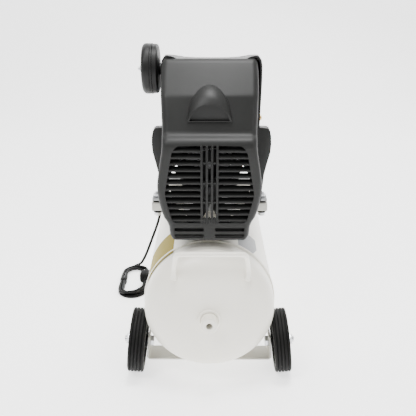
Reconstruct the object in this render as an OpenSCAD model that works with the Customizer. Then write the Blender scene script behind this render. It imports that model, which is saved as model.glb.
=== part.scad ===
// Direct-drive, oil-lubricated piston air compressor on a horizontal wheeled tank.
// Frame: origin on the floor under the middle of the tank, +Z up, the tank's axis along Y.
// The wheels, the fan grille and the near rod handle are at the -Y end.

/* [Tank] */
// Outer radius of the dished ends
tank_r = 122.5; // [118:0.5:126]
// Outer radius of the rolled barrel, a little over the ends
barrel_r = 124; // [123:0.5:127]
// Length of the rolled barrel between its two seams
barrel_l = 410; // [400:5:430]
// Wall thickness of the tank
tank_wall = 2.5; // [2:0.5:3]
// Height of the tank's axis above the floor
tank_z = 157.5; // [155:0.5:162]
// Straight skirt of a dished end
skirt_l = 19; // [15:1:22]
// Depth of the dome of a dished end beyond its skirt
dome_d = 56; // [50:1:60]
// Squareness of the dome's section (2 is an ellipse)
dome_n = 2.9; // [2.2:0.1:3.2]

/* [Near bung and rod handles] */
// Outer radius of the bung's nozzle
bung_r = 15.25; // [14:0.25:18]
// How far the nozzle stands out of the dome
bung_reach = 22; // [16:1:26]
// Radius of the bung's threaded port
port_r = 5.9; // [5:0.1:6.5]
// Radius of the handles' rod
rod_r = 4.5; // [4:0.5:5.5]
// Height of the handles' crossbars
handle_z = 296; // [285:1:300]

/* [Wheels] */
// Radius of the tyre
wheel_r = 62.5; // [58:0.5:66]
// Width of the tyre
wheel_w = 31; // [28:1:34]
// Distance of a wheel's middle plane from the centre line
wheel_x = 140.5; // [136:0.5:144]
// Position of the axle along the tank
axle_y = -203; // [-206:1:-196]
// Camber of the wheels: their tops lean in
camber = 5.5; // [4:0.5:6]
// Radius of the axle bolts
axle_r = 6; // [5:0.5:6]

/* [Pump and motor] */
// Height of the crankshaft's axis
crank_z = 385; // [383:1:387]
// Position of the cylinder along the tank
cyl_y = -95; // [-96:1:-94]
// Cylinder bore, as a radius
bore_r = 23.5; // [22:0.5:24]
// Crank throw, half the stroke
throw = 21; // [18:1:21]
// Length of the connecting rod between its eyes
rod_l = 105; // [103:1:107]
// Radius of the crankshaft's journals
shaft_r = 8; // [7:0.5:8.5]
// Radius of the cooling fan
fan_r = 70; // [60:1:74]
// Number of fan blades
fan_blades = 7; // [5:1:9]
// Radius of the motor housing
motor_r = 66; // [64:1:68]

/* [Shroud] */
// Wall of the plastic shroud
shroud_t = 3; // [2.5:0.5:3.5]
// Plane of the grille's face
face_y = -240; // [-242:1:-238]
// Joint between the front cowl and the rear shell
split_y = -139; // [-140:1:-137]
// Far face of the rear shell
shell_end_y = 115; // [112:1:118]
// Height of the shroud's top
shroud_top = 602; // [598:1:604]
// Distance between the grille's slats
slat_pitch = 11.4; // [11:0.2:12]

/* [Air filter] */
// Height of the filter's axis
filter_z = 578; // [576:1:580]
// Radius of the filter
filter_r = 45.5; // [40:0.5:46]

/* [Controls] */
// Position of the manifold and the pressure switch along the tank
switch_y = 175; // [172:1:178]
// Position of the check valve along the tank
valve_y = 132; // [130:1:134]
// Radius of a pressure gauge
gauge_r = 20; // [18:1:21]

/* [Mains lead] */
// Diameter of the lead
lead_d = 7; // [6.5:0.5:7.5]

/* [Hidden] */
$fn = 64;

CREAM = [0.91, 0.90, 0.86];
SHELL_GREY = [0.20, 0.20, 0.20];
DARK = [0.10, 0.10, 0.10];
BEIGE = [0.78, 0.77, 0.72];
ZINC = [0.72, 0.73, 0.75];
CAST = [0.60, 0.61, 0.62];
BRASS = [0.80, 0.65, 0.30];
RUBBER = [0.06, 0.06, 0.06];

seam_y = barrel_l / 2;
end_l = skirt_l + dome_d;
apex_y = seam_y + end_l;
tank_top = tank_z + barrel_r;
tank_bottom = tank_z - barrel_r;
barrel_ri = barrel_r - tank_wall;
pin_z = crank_z + throw + rod_l;
piston_top = pin_z + 20;
deck_z = crank_z + 55;
plate_z = piston_top + 2;
head_z = plate_z + 6;
head_top = 586;
beam_top = 303;
foot_z = beam_top + 5;
beam_x = 119;
bolt_x = 109;
beam_ys = [-55, 77];
beam_w = 34;
boss_top = tank_top + 8.5;
fit = 0.05;
gap = 0.3;

// ---------- shared shapes ----------

// A box between two opposite corners
module block(a, b) {
    translate(a) cube(b - a);
}

// A cylinder along X, Y or Z between two stations; c is the axis's place in the other two
module bar_x(r, x0, x1, c) {
    translate([x0, c[0], c[1]]) rotate([0, 90, 0]) cylinder(r = r, h = x1 - x0);
}

module bar_y(r, y0, y1, c) {
    translate([c[0], y0, c[1]]) rotate([-90, 0, 0]) cylinder(r = r, h = y1 - y0);
}

module bar_z(r, z0, z1, c) {
    translate([c[0], c[1], z0]) cylinder(r = r, h = z1 - z0);
}

// A hexagon head, af across its flats
module hex_z(af, z0, z1, c) {
    translate([c[0], c[1], z0]) cylinder(d = af / cos(30), h = z1 - z0, $fn = 6);
}

function unit(v) = v / norm(v);

// Points of a polyline with each inner corner rounded over a length d by k steps
function rounded(p, d, k = 4) = concat([p[0]],
    [for (i = [1:len(p) - 2]) let (a = p[i] + d * unit(p[i - 1] - p[i]), b = p[i] + d * unit(p[i + 1] - p[i]))
        for (j = [0:k]) let (t = j / k) (1 - t) * (1 - t) * a + 2 * t * (1 - t) * p[i] + t * t * b],
    [p[len(p) - 1]]);

// One point of a smooth curve through four neighbouring points
function curve_at(a, b, c, d, t) = 0.5 * (2 * b + (c - a) * t + (2 * a - 5 * b + 4 * c - d) * t * t
    + (3 * b - a - 3 * c + d) * t * t * t);

// A smooth curve through a list of points, k steps from one to the next
function smooth(p, k) = concat([for (i = [0:len(p) - 2]) for (j = [0:k - 1])
    curve_at(p[max(i - 1, 0)], p[i], p[i + 1], p[min(i + 2, len(p) - 1)], j / k)], [p[len(p) - 1]]);

// Directions along a path, and side vectors carried along it without twist
function tangents(p) = [for (i = [0:len(p) - 1]) unit(p[min(i + 1, len(p) - 1)] - p[max(i - 1, 0)])];
function carried(t, side, i = 0) = i == len(t) ? [] :
    let (n = unit(side - (side * t[i]) * t[i])) concat([n], carried(t, n, i + 1));

// A skin through rings with the same number of points, closed at both ends
module skin(rings) {
    n = len(rings[0]);
    m = len(rings);
    polyhedron(
        points = [for (ring = rings) for (q = ring) q],
        faces = concat(
            [[for (j = [n - 1:-1:0]) j]],
            [for (i = [0:m - 2]) for (j = [0:n - 1])
                [i * n + j, i * n + (j + 1) % n, (i + 1) * n + (j + 1) % n]],
            [for (i = [0:m - 2]) for (j = [0:n - 1])
                [i * n + j, (i + 1) * n + (j + 1) % n, (i + 1) * n + j]],
            [[for (j = [0:n - 1]) (m - 1) * n + j]]));
}

// A round rod or tube swept along a path
module swept(path, r, sides, side = [1, 0, 0]) {
    t = tangents(path);
    n = carried(t, side);
    skin([for (i = [0:len(path) - 1]) let (b = cross(t[i], n[i]))
        [for (j = [0:sides - 1]) path[i] + r * cos(-360 * j / sides) * n[i] + r * sin(-360 * j / sides) * b]]);
}

// ---------- tank ----------

// Half-section of a dome of radius r and depth d that starts at height z0
function dome(r, d, z0) = [for (a = [0:7:84]) [r * pow(cos(a), 2 / dome_n), z0 + d * pow(sin(a), 2 / dome_n)]];
function backwards(p) = [for (i = [len(p) - 1:-1:0]) p[i]];

module tank_barrel() {
    color(CREAM) difference() {
        union() {
            bar_y(barrel_r, -seam_y, seam_y, [0, tank_z]);
            for (y = [valve_y, switch_y]) bar_z(15, tank_top - 6, boss_top, [0, y]);
            bar_z(14, tank_bottom - 6, tank_bottom + 6, [0, 60]);
        }
        bar_y(barrel_ri, -seam_y - 1, seam_y + 1, [0, tank_z]);
        for (y = [valve_y, switch_y]) bar_z(8, tank_top - 10, boss_top + 1, [0, y]);
        bar_z(port_r, tank_bottom - 8, tank_bottom + 10, [0, 60]);
    }
}

// One dished end; its skirt stands out of the barrel and its lip sits inside it
module dished_end(hole_r) {
    lip = 8;
    inner_r = barrel_ri - tank_wall;
    rotate_extrude($fn = 96) polygon(concat(
        [[barrel_ri, -lip], [barrel_ri, 0]],
        dome(tank_r, dome_d, skirt_l),
        [[hole_r, end_l], [hole_r, end_l - tank_wall]],
        backwards(dome(inner_r, dome_d - tank_wall, skirt_l)),
        [[inner_r, -lip]]));
}

module near_end() {
    color(CREAM) translate([0, -seam_y, tank_z]) rotate([90, 0, 0]) dished_end(bung_r);
}

module far_end() {
    color(CREAM) translate([0, seam_y, tank_z]) rotate([-90, 0, 0]) dished_end(0);
}

// Welded bung with a threaded gauge or outlet port right through it
module near_bung() {
    weld_r = 21.5;
    color(CREAM) difference() {
        union() {
            bar_y(bung_r, -apex_y - bung_reach, -apex_y + tank_wall + 4, [0, tank_z]);
            bar_y(weld_r, -apex_y - 3.5, -apex_y, [0, tank_z]);
        }
        bar_y(port_r, -apex_y - bung_reach - 1, -apex_y + tank_wall + 5, [0, tank_z]);
    }
}

// Bent rod with its ends standing on the dome; dir is -1 at the near end and +1 at the far one
module rod_handle(dir, bar_at, middle, foot) {
    tab_y = dir * foot[0];
    side = foot[1];
    path = [[middle - side, tab_y, foot[2]], [middle - side, tab_y, 256], [middle - side + 6, dir * bar_at, handle_z],
        [middle + side - 6, dir * bar_at, handle_z], [middle + side, tab_y, 256], [middle + side, tab_y, foot[2]]];
    swept(rounded(path, 11), rod_r, 16);
}

module rod_handles() {
    color(CREAM) {
        rod_handle(-1, 295, 3, [268.8, 65.5, 237]);
        rod_handle(1, 297.5, 0, [271.8, 67, 226]);
    }
}

// Half outline of a bent sheet: flat, rounded corner, then a flange that leans in by the camber
function bent(x, z, r, h) = concat([for (i = [0:10]) let (a = -90 + (90 + camber) * i / 10)
    [x - r + r * cos(a), z + r + r * sin(a)]],
    [[x - r + r * cos(camber) - h * sin(camber), z + r + r * sin(camber) + h * cos(camber)]]);
function mirrored(p) = [for (q = backwards(p)) [-q[0], q[1]]];

// Height of the axle: the tyre's lowest rounded edge touches the floor
shoulder = 4;
axle_z = (wheel_r - shoulder) * cos(camber) + (wheel_w / 2 - shoulder) * sin(camber) + shoulder;

// Draws its children in the frame of the right wheel (+Z outwards along the axle)
module at_wheel(side) {
    mirror([side < 0 ? 1 : 0, 0, 0]) translate([wheel_x, axle_y, axle_z]) rotate([0, 90 - camber, 0]) children();
}

flange_at = -wheel_w / 2 - 4;
sheet_t = 3;

module axle_bracket() {
    depth = 44;
    corner = 8;
    flange_h = 44;
    base_z = tank_bottom - sheet_t;
    outer_x = corner + wheel_x + (flange_at - corner + (axle_z - base_z - corner) * sin(camber)) / cos(camber);
    outer = bent(outer_x, base_z, corner, flange_h);
    inner = bent(outer_x - sheet_t, tank_bottom, corner - sheet_t, flange_h);
    color(BEIGE) difference() {
        union() {
            translate([0, axle_y + depth / 2, 0]) rotate([90, 0, 0]) linear_extrude(depth)
                polygon(concat(outer, backwards(inner), backwards(mirrored(inner)), mirrored(outer)));
            for (s = [-1, 1]) block([s * 30 - 12, -seam_y + 2, tank_bottom - 1], [s * 30 + 12, axle_y + 20, tank_bottom + 6]);
        }
        bar_y(barrel_r, -seam_y - 30, 0, [0, tank_z]);
        for (s = [-1, 1]) at_wheel(s) cylinder(r = axle_r + 0.1, h = 40, center = true);
        for (s = [-1, 1]) at_wheel(s) translate([0, 0, -24]) cylinder(r = axle_r + 0.1, h = 20, center = true);
    }
}

// Shoulder bolt of a wheel with its nut, and the bolts and nuts of the pump's mountings
module axle_bolt() {
    head = 8;
    flange_in = flange_at - sheet_t;
    translate([0, 0, flange_in]) cylinder(r = axle_r, h = wheel_w / 2 + 12 - flange_in);
    translate([0, 0, flange_in - head]) cylinder(d = 19 / cos(30), h = head, $fn = 6);
    difference() {
        translate([0, 0, wheel_w / 2 + 1]) cylinder(d = 19 / cos(30), h = 7, $fn = 6);
        translate([0, 0, wheel_w / 2]) cylinder(r = axle_r, h = 9);
    }
}

module hex_bolts() {
    color(ZINC) {
        for (s = [-1, 1]) at_wheel(s) axle_bolt();
        for (s = [-1, 1]) for (y = beam_ys) {
            bar_z(4, beam_top - 32, foot_z + 16, [s * bolt_x, y]);
            difference() {
                hex_z(13, foot_z + 5, foot_z + 12, [s * bolt_x, y]);
                bar_z(4, foot_z + 4, foot_z + 13, [s * bolt_x, y]);
            }
            difference() {
                hex_z(13, beam_top - 31, beam_top - 24, [s * bolt_x, y]);
                bar_z(4, beam_top - 33, beam_top - 23, [s * bolt_x, y]);
            }
        }
    }
}

// ---------- wheels ----------

module tyre() {
    core_r = 46;
    groove_w = 2.4;
    groove_d = 3;
    groove_at = [-9.6, -3.2, 3.2, 9.6];
    half = wheel_w / 2;
    rotate_extrude($fn = 96) difference() {
        union() {
            translate([core_r, -half]) square([wheel_r - shoulder - core_r, wheel_w]);
            translate([core_r, -half + shoulder]) square([wheel_r - core_r, wheel_w - 2 * shoulder]);
            for (s = [-1, 1]) translate([wheel_r - shoulder, s * (half - shoulder)]) circle(shoulder, $fn = 24);
        }
        for (z = groove_at) translate([wheel_r - groove_d, z - groove_w / 2]) square([groove_d + 1, groove_w]);
    }
}

// Moulded hub: rim, web and a boss that runs on the axle bolt
module hub() {
    half = wheel_w / 2;
    bore = axle_r + fit;
    rotate_extrude($fn = 96) polygon([[bore, -half - 2], [14, -half - 2], [14, -3], [41, -3], [41, -half + 3],
        [46, -half + 3], [46, half - 3], [41, half - 3], [41, 4], [18, 4], [18, half - 1], [bore, half - 1]]);
}

module tyre_left() { color(RUBBER) at_wheel(-1) tyre(); }
module tyre_right() { color(RUBBER) at_wheel(1) tyre(); }
module hub_left() { color(DARK) at_wheel(-1) hub(); }
module hub_right() { color(DARK) at_wheel(1) hub(); }

// ---------- far foot, beams and drain ----------

foot_y = 165;
foot_top = 20;

module foot_bracket() {
    depth = 40;
    outer = [[46, tank_bottom], [62, foot_top + sheet_t], [96, foot_top + sheet_t], [96, foot_top], [60, foot_top],
        [44, tank_bottom - sheet_t]];
    color(BEIGE) difference() {
        union() {
            translate([0, foot_y + depth / 2, 0]) rotate([90, 0, 0]) linear_extrude(depth)
                polygon(concat(outer, mirrored(outer)));
            for (s = [-1, 1]) block([s * 30 - 12, foot_y - 18, tank_bottom - 1], [s * 30 + 12, foot_y + 18, tank_bottom + 6]);
        }
        bar_y(barrel_r, 0, seam_y, [0, tank_z]);
        for (s = [-1, 1]) bar_z(4, foot_top - 1, foot_top + sheet_t + 1, [s * 78, foot_y]);
    }
}

module rubber_feet() {
    color(RUBBER) for (s = [-1, 1]) translate([s * 78, foot_y, 0]) {
        rotate_extrude() polygon([[0, 0], [14, 0], [16, 2], [16, 8], [18, foot_top], [0, foot_top]]);
        cylinder(r = 4, h = foot_top + sheet_t);
        translate([0, 0, foot_top + sheet_t]) cylinder(r = 7, h = 3);
    }
}

// Two channels across the tank that carry the pump and the motor
module cross_members() {
    drop = 16;
    wall = 3;
    color(BEIGE) for (y = beam_ys) difference() {
        union() {
            block([-beam_x, y - beam_w / 2, beam_top - drop], [beam_x, y + beam_w / 2, beam_top]);
            block([-70, y - beam_w / 2, tank_top - 24], [70, y + beam_w / 2, beam_top - 2]);
        }
        block([-beam_x - 1, y - beam_w / 2 + wall, tank_top - 30], [beam_x + 1, y + beam_w / 2 - wall, beam_top - wall]);
        bar_y(barrel_r, y - beam_w, y + beam_w, [0, tank_z]);
        for (s = [-1, 1]) bar_z(4, beam_top - drop - 1, beam_top + 1, [s * bolt_x, y]);
    }
}

module mount_buffers() {
    color(RUBBER) for (s = [-1, 1]) for (y = beam_ys) difference() {
        union() {
            bar_z(10, beam_top, foot_z, [s * bolt_x, y]);
            bar_z(9, beam_top - 24, beam_top - 3, [s * bolt_x, y]);
        }
        bar_z(4, beam_top - 30, foot_z + 1, [s * bolt_x, y]);
    }
}

module drain_cock() {
    color(BRASS) difference() {
        union() {
            bar_z(port_r, tank_bottom - 6, tank_bottom + 4, [0, 60]);
            hex_z(14, tank_bottom - 16, tank_bottom - 6, [0, 60]);
        }
        bar_z(2, tank_bottom - 17, tank_bottom + 5, [0, 60]);
        bar_z(3 + fit, tank_bottom - 17, tank_bottom - 8, [0, 60]);
    }
}

// Wing screw of the drain: a stem and a knurled knob
module drain_screw() {
    color(BRASS) {
        bar_z(3, tank_bottom - 20, tank_bottom - 9, [0, 60]);
        bar_z(7, tank_bottom - 25, tank_bottom - 20, [0, 60]);
        block([-10, 58.5, tank_bottom - 27], [10, 61.5, tank_bottom - 21]);
    }
}

// ---------- pump ----------

rear_y = -61;
cover_y = -137;
flange_y = -45;
axis = [0, crank_z];
bearing_r = 17.5;

module crankcase() {
    case_r = 55;
    wall = 8;
    color(CAST) difference() {
        union() {
            bar_y(case_r, cover_y, flange_y - 8, axis);
            bar_y(motor_r, flange_y - 8, flange_y, axis);
            block([-36, cyl_y - 36, crank_z], [36, cyl_y + 36, deck_z]);
            block([-50, cover_y + 12, foot_z], [50, flange_y, crank_z - 30]);
            block([-118, beam_ys[0] - 14, foot_z], [118, beam_ys[0] + 14, foot_z + 5]);
        }
        bar_y(case_r - wall, cover_y - 1, rear_y, axis);
        bar_y(bearing_r, rear_y - 1, rear_y + 12, axis);
        bar_y(shaft_r + 1, rear_y, flange_y + 1, axis);
        bar_z(bore_r + 1.5, crank_z, deck_z + 1, [0, cyl_y]);
        for (s = [-1, 1]) bar_z(4, foot_z - 1, foot_z + 6, [s * bolt_x, beam_ys[0]]);
    }
}

// Front cover of the crankcase with the front bearing's seat
module crankcase_cover() {
    color(CAST) difference() {
        union() {
            bar_y(55, cover_y - 6, cover_y, axis);
            bar_y(24, cover_y - 20, cover_y - 6, axis);
        }
        bar_y(bearing_r, cover_y - 18, cover_y + 1, axis);
        bar_y(shaft_r + 1, cover_y - 21, cover_y, axis);
    }
}

module bearing(y) {
    difference() {
        bar_y(bearing_r, y, y + 11, axis);
        bar_y(shaft_r + fit, y - 1, y + 12, axis);
    }
}

module bearings() {
    color(ZINC) for (y = [cover_y - 18, rear_y + 1, 87]) bearing(y);
}

// One crank web: hub, pin eye and a counterweight below
module web(y) {
    bar_y(15, y, y + 10, axis);
    bar_y(13, y, y + 10, [0, crank_z + throw]);
    intersection() {
        bar_y(40, y, y + 10, axis);
        block([-40, y, crank_z - 41], [40, y + 10, crank_z - 6]);
    }
}

module crankshaft() {
    color(ZINC) {
        union() {
            bar_y(shaft_r, -224, cyl_y - 12, axis);
            web(cyl_y - 22);
        }
        union() {
            bar_y(shaft_r, cyl_y + 12, 98, axis);
            web(cyl_y + 12);
        }
    }
}

// Axial fan on the shaft's front end
module fan() {
    hub_r = 20;
    pitch = 35;
    color(DARK) difference() {
        union() {
            bar_y(hub_r, -222, -196, axis);
            for (i = [0:fan_blades - 1]) translate([0, -209, crank_z]) rotate([0, i * 360 / fan_blades, 0])
                intersection() {
                    translate([0, 0, fan_r / 2 + 8]) rotate([0, 0, pitch]) cube([30, 2.4, fan_r - 12], center = true);
                    rotate([90, 0, 0]) cylinder(r = fan_r, h = 24, center = true);
                }
        }
        bar_y(shaft_r, -223, -195, axis);
    }
}

module rotor() {
    color(ZINC) difference() {
        bar_y(35.6, -20, 50, axis);
        bar_y(shaft_r, -21, 51, axis);
    }
}

module connecting_rod() {
    w = 18;
    small_w = 14;
    color(CAST) difference() {
        union() {
            bar_y(14, cyl_y - w / 2, cyl_y + w / 2, [0, crank_z + throw]);
            bar_y(10, cyl_y - small_w / 2, cyl_y + small_w / 2, [0, pin_z]);
            block([-6, cyl_y - 6, crank_z + throw + 8], [6, cyl_y + 6, pin_z - 7]);
        }
        bar_y(9, cyl_y - w, cyl_y + w, [0, crank_z + throw]);
        bar_y(6 + fit, cyl_y - w, cyl_y + w, [0, pin_z]);
    }
}

module crank_pin() {
    half = 12 - gap;
    color(ZINC) bar_y(9, cyl_y - half, cyl_y + half, [0, crank_z + throw]);
}

module piston() {
    r = bore_r - fit;
    skirt = 20;
    color(CAST) difference() {
        bar_z(r, pin_z - skirt, piston_top, [0, cyl_y]);
        bar_z(r - 4, pin_z - skirt - 1, pin_z - 11, [0, cyl_y]);
        block([-14, cyl_y - 8, pin_z - skirt - 1], [14, cyl_y + 8, pin_z + 12]);
        bar_y(6, cyl_y - bore_r - 1, cyl_y + bore_r + 1, [0, pin_z]);
        for (z = [piston_top - 4, piston_top - 8]) difference() {
            bar_z(r + 1, z - 2, z, [0, cyl_y]);
            bar_z(r - 1, z - 3, z + 1, [0, cyl_y]);
        }
    }
}

module wrist_pin() {
    color(ZINC) bar_y(6, cyl_y - 21, cyl_y + 21, [0, pin_z]);
}

// Finned cylinder; its fins are thin square plates with round bores
module cylinder_barrel() {
    fins = 8;
    color(CAST) difference() {
        union() {
            bar_z(bore_r + 5, deck_z, plate_z, [0, cyl_y]);
            for (i = [0:fins - 1]) let (z = deck_z + 8 + i * 10)
                block([-40, cyl_y - 38, z], [40, cyl_y + 38, z + 3]);
            block([-36, cyl_y - 36, deck_z], [36, cyl_y + 36, deck_z + 6]);
        }
        bar_z(bore_r, deck_z - 1, plate_z + 1, [0, cyl_y]);
        for (x = [-31, 31]) for (y = [-29, 29]) bar_z(4, deck_z - 1, plate_z + 1, [x, cyl_y + y]);
    }
}

module valve_plate() {
    color(ZINC) difference() {
        block([-38, cyl_y - 36, plate_z], [38, cyl_y + 36, head_z]);
        for (x = [-10, 10]) bar_z(4, plate_z - 1, head_z + 1, [x, cyl_y]);
        for (x = [-31, 31]) for (y = [-29, 29]) bar_z(4, plate_z - 1, head_z + 1, [x, cyl_y + y]);
    }
}

module cylinder_head() {
    fins = 6;
    wall = 5;
    color(CAST) difference() {
        union() {
            block([-38, cyl_y - 36, head_z], [38, cyl_y + 36, head_z + 36]);
            for (i = [0:fins - 1]) let (y = cyl_y - 34 + i * 13)
                block([-38, y, head_z + 30], [38, y + 3, head_top]);
            bar_x(13, -46, -30, [cyl_y, filter_z]);
            block([-40, cyl_y - 14, head_z + 20], [-24, cyl_y + 14, filter_z + 5]);
            bar_x(11, 30, 44, [cyl_y, head_z + 18]);
        }
        block([-38 + wall, cyl_y - 22, head_z - 1], [-3, cyl_y + 22, head_z + 28]);
        block([3, cyl_y - 22, head_z - 1], [38 - wall, cyl_y + 22, head_z + 28]);
        bar_x(8, -50, -30, [cyl_y, filter_z]);
        bar_x(5, 30, 45, [cyl_y, head_z + 18]);
        for (x = [-31, 31]) for (y = [-29, 29]) {
            bar_z(4, head_z - 1, head_top + 1, [x, cyl_y + y]);
            bar_z(8, head_z + 36, head_top + 1, [x, cyl_y + y]);
        }
    }
}

module head_bolts() {
    color(ZINC) for (x = [-31, 31]) for (y = [-29, 29]) {
        bar_z(4, deck_z + 1, head_z + 36, [x, cyl_y + y]);
        hex_z(12, head_z + 36, head_z + 43, [x, cyl_y + y]);
    }
}

// ---------- air filter ----------

filter_in = -93;
filter_out = -123;
filter_at = [cyl_y, filter_z];

// Base pan with the threaded neck that screws into the head
module filter_base() {
    color(DARK) difference() {
        union() {
            bar_x(filter_r - 1.5, filter_in - 11, filter_in, filter_at);
            bar_x(8, filter_in - 2, -32, filter_at);
            bar_x(12, filter_in, -87, filter_at);
        }
        bar_x(filter_r - 4, filter_in - 12, filter_in - 3, filter_at);
        bar_x(5.5, filter_in - 12, -31, filter_at);
    }
}

module filter_element() {
    color([0.85, 0.80, 0.62]) difference() {
        bar_x(36, filter_out + 5, filter_in - 3, filter_at);
        bar_x(20, filter_out + 4, filter_in - 2, filter_at);
    }
}

// Domed outer cover
module filter_cover() {
    edge = 9;
    depth = filter_in - 11 - filter_out;
    color(DARK) translate([filter_in - 11, cyl_y, filter_z]) rotate([0, -90, 0]) difference() {
        rotate_extrude($fn = 96) polygon(concat([[2 + fit, 0], [filter_r, 0]],
            [for (a = [0:15:90]) [filter_r - edge + edge * cos(a), depth - edge + edge * sin(a)]], [[2 + fit, depth]]));
        translate([0, 0, -1]) cylinder(r = filter_r - 3, h = depth - 3);
    }
}

module filter_stud() {
    color(ZINC) {
        bar_x(2, filter_out - 9, filter_in - 3, filter_at);
        bar_x(5, filter_out - 3, filter_out, filter_at);
        bar_x(5.5, filter_in - 3, filter_in - 1, filter_at);
    }
}

// ---------- motor ----------

motor_end = 80;

module motor_housing() {
    ribs = 12;
    color(CAST) difference() {
        union() {
            bar_y(motor_r, flange_y, motor_end, axis);
            for (i = [0:ribs - 1]) translate([0, flange_y + 6, crank_z]) rotate([0, i * 360 / ribs, 0])
                translate([motor_r - 2, 0, -1.5]) cube([6, motor_end - flange_y - 12, 3]);
            block([-118, beam_ys[1] - 14, foot_z], [118, beam_ys[1] + 3, foot_z + 5]);
            block([-46, beam_ys[1] - 30, foot_z], [46, beam_ys[1] + 3, crank_z - motor_r + 20]);
        }
        bar_y(motor_r - 6, flange_y - 1, motor_end + 1, axis);
        for (s = [-1, 1]) bar_z(4, foot_z - 1, foot_z + 6, [s * bolt_x, beam_ys[1]]);
    }
}

module stator() {
    color([0.55, 0.35, 0.20]) difference() {
        union() {
            bar_y(motor_r - 6, -20, 50, axis);
            bar_y(motor_r - 10, -36, 66, axis);
        }
        bar_y(36, -37, 67, axis);
        for (y = [-37, 50]) bar_y(40, y, y + 17, axis);
    }
}

module end_bell() {
    color(CAST) difference() {
        union() {
            bar_y(motor_r, motor_end, motor_end + 7, axis);
            bar_y(24, motor_end + 6, motor_end + 20, axis);
        }
        bar_y(bearing_r, motor_end + 7, motor_end + 18, axis);
        bar_y(shaft_r + 2, motor_end - 1, motor_end + 19, axis);
    }
}

// ---------- air line and controls ----------

module discharge_pipe() {
    out_z = head_z + 18;
    path = [[44, cyl_y, out_z], [58, cyl_y, out_z], [66, -70, 540], [76, -20, 500], [80, 50, 440], [80, 88, 380],
        [74, 98, 338], [58, 108, 317], [36, 122, 312], [26, valve_y, 312], [14, valve_y, 312]];
    color([0.72, 0.45, 0.30]) swept(smooth(path, 4), 5, 12, [0, 0, 1]);
}

module check_valve() {
    color(BRASS) {
        bar_z(8, tank_top - 6, boss_top, [0, valve_y]);
        hex_z(24, boss_top, boss_top + 8, [0, valve_y]);
        bar_z(11, boss_top + 8, 324, [0, valve_y]);
        bar_x(7, 9, 14, [valve_y, 312]);
        hex_z(20, 324, 330, [0, valve_y]);
    }
}

port_z = 322;
reg_x = 58;
block_top = 338;
base_top = 352;
cover_top = 425;

// Brass block on the tank that feeds the switch, the gauges, the safety valve and the regulator
module manifold() {
    y = switch_y;
    color(BRASS) {
        bar_z(8, tank_top - 6, boss_top, [0, y]);
        bar_z(10, boss_top, 306, [0, y]);
        block([-18, y - 15, 306], [18, y + 15, block_top]);
        bar_z(9, block_top, 344, [0, y]);
        bar_x(9, 18, 42, [y, port_z]);
        difference() {
            bar_z(17, 304, 344, [reg_x, y]);
            block([coupler_x, y - 12, port_z - 12], [reg_x + 18, y + 12, port_z + 12]);
        }
        bar_z(6, 344, 354, [reg_x, y]);
        bar_y(5, y + 15, y + 25, [0, port_z]);
        bar_y(5, y + 15, y + 25, [reg_x, port_z]);
    }
}

// Box with rounded upright edges
module rounded_block(a, b, r) {
    block([a[0] + r, a[1], a[2]], [b[0] - r, b[1], b[2]]);
    block([a[0], a[1] + r, a[2]], [b[0], b[1] - r, b[2]]);
    for (x = [a[0] + r, b[0] - r]) for (y = [a[1] + r, b[1] - r]) bar_z(r, a[2], b[2], [x, y]);
}

module switch_base() {
    color(ZINC) difference() {
        rounded_block([-33, switch_y - 38, 344], [33, switch_y + 38, base_top], 6);
        bar_z(5, 343, base_top + 1, [0, switch_y]);
    }
}

module switch_cover() {
    color(DARK) difference() {
        rounded_block([-32, switch_y - 37, base_top], [32, switch_y + 37, cover_top], 8);
        rounded_block([-29.5, switch_y - 34.5, base_top - 1], [29.5, switch_y + 34.5, cover_top - 2.5], 6);
        bar_z(5.5, cover_top - 4, cover_top + 1, [0, switch_y]);
        bar_x(4, -34, -28, [switch_y, 376]);
    }
}

// Off and auto knob that is pulled up
module switch_knob() {
    color([0.75, 0.10, 0.08]) {
        bar_z(5, cover_top - 12, cover_top + 2, [0, switch_y]);
        bar_z(9, cover_top + 2, cover_top + 14, [0, switch_y]);
        bar_z(12, cover_top + 14, cover_top + 20, [0, switch_y]);
    }
}

module regulator_knob() {
    ribs = 18;
    color(DARK) difference() {
        union() {
            bar_z(17, 345, 366, [reg_x, switch_y]);
            for (i = [0:ribs - 1]) bar_z(1.6, 347, 364, [reg_x + 17 * cos(i * 360 / ribs), switch_y + 17 * sin(i * 360 / ribs)]);
        }
        bar_z(6 + fit, 344, 355, [reg_x, switch_y]);
    }
}

dial_y = switch_y + 35;

// Two pressure gauges with recessed dials and a post for each pointer
module gauges() {
    color(ZINC) for (x = [0, reg_x]) difference() {
        union() {
            difference() {
                bar_y(gauge_r, switch_y + 25, switch_y + 45, [x, port_z]);
                bar_y(gauge_r - 2, dial_y, switch_y + 46, [x, port_z]);
            }
            bar_y(1, dial_y, dial_y + 5, [x, port_z]);
        }
    }
}

module needle(x) {
    difference() {
        union() {
            bar_y(2.5, dial_y + 1.5, dial_y + 4, [x, port_z]);
            translate([x, dial_y + 2, port_z]) rotate([0, 135, 0]) translate([-0.7, 0, -5]) cube([1.4, 1, 19]);
        }
        bar_y(1 + fit, dial_y, dial_y + 6, [x, port_z]);
    }
}

module tank_needle() { color(DARK) needle(0); }
module outlet_needle() { color(DARK) needle(reg_x); }

module safety_valve() {
    color(BRASS) difference() {
        union() {
            bar_x(5, -30, -18, [switch_y, port_z]);
            bar_x(8, -46, -26, [switch_y, port_z]);
        }
        bar_x(2 + fit, -47, -38, [switch_y, port_z]);
    }
}

// Pull ring that lifts the safety valve off its seat
module safety_ring() {
    color(ZINC) {
        bar_x(2, -52, -41, [switch_y, port_z]);
        translate([-61, switch_y, port_z]) rotate_extrude() translate([9, 0]) circle(1.2, $fn = 24);
    }
}

coupler_x = reg_x + 16;

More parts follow.
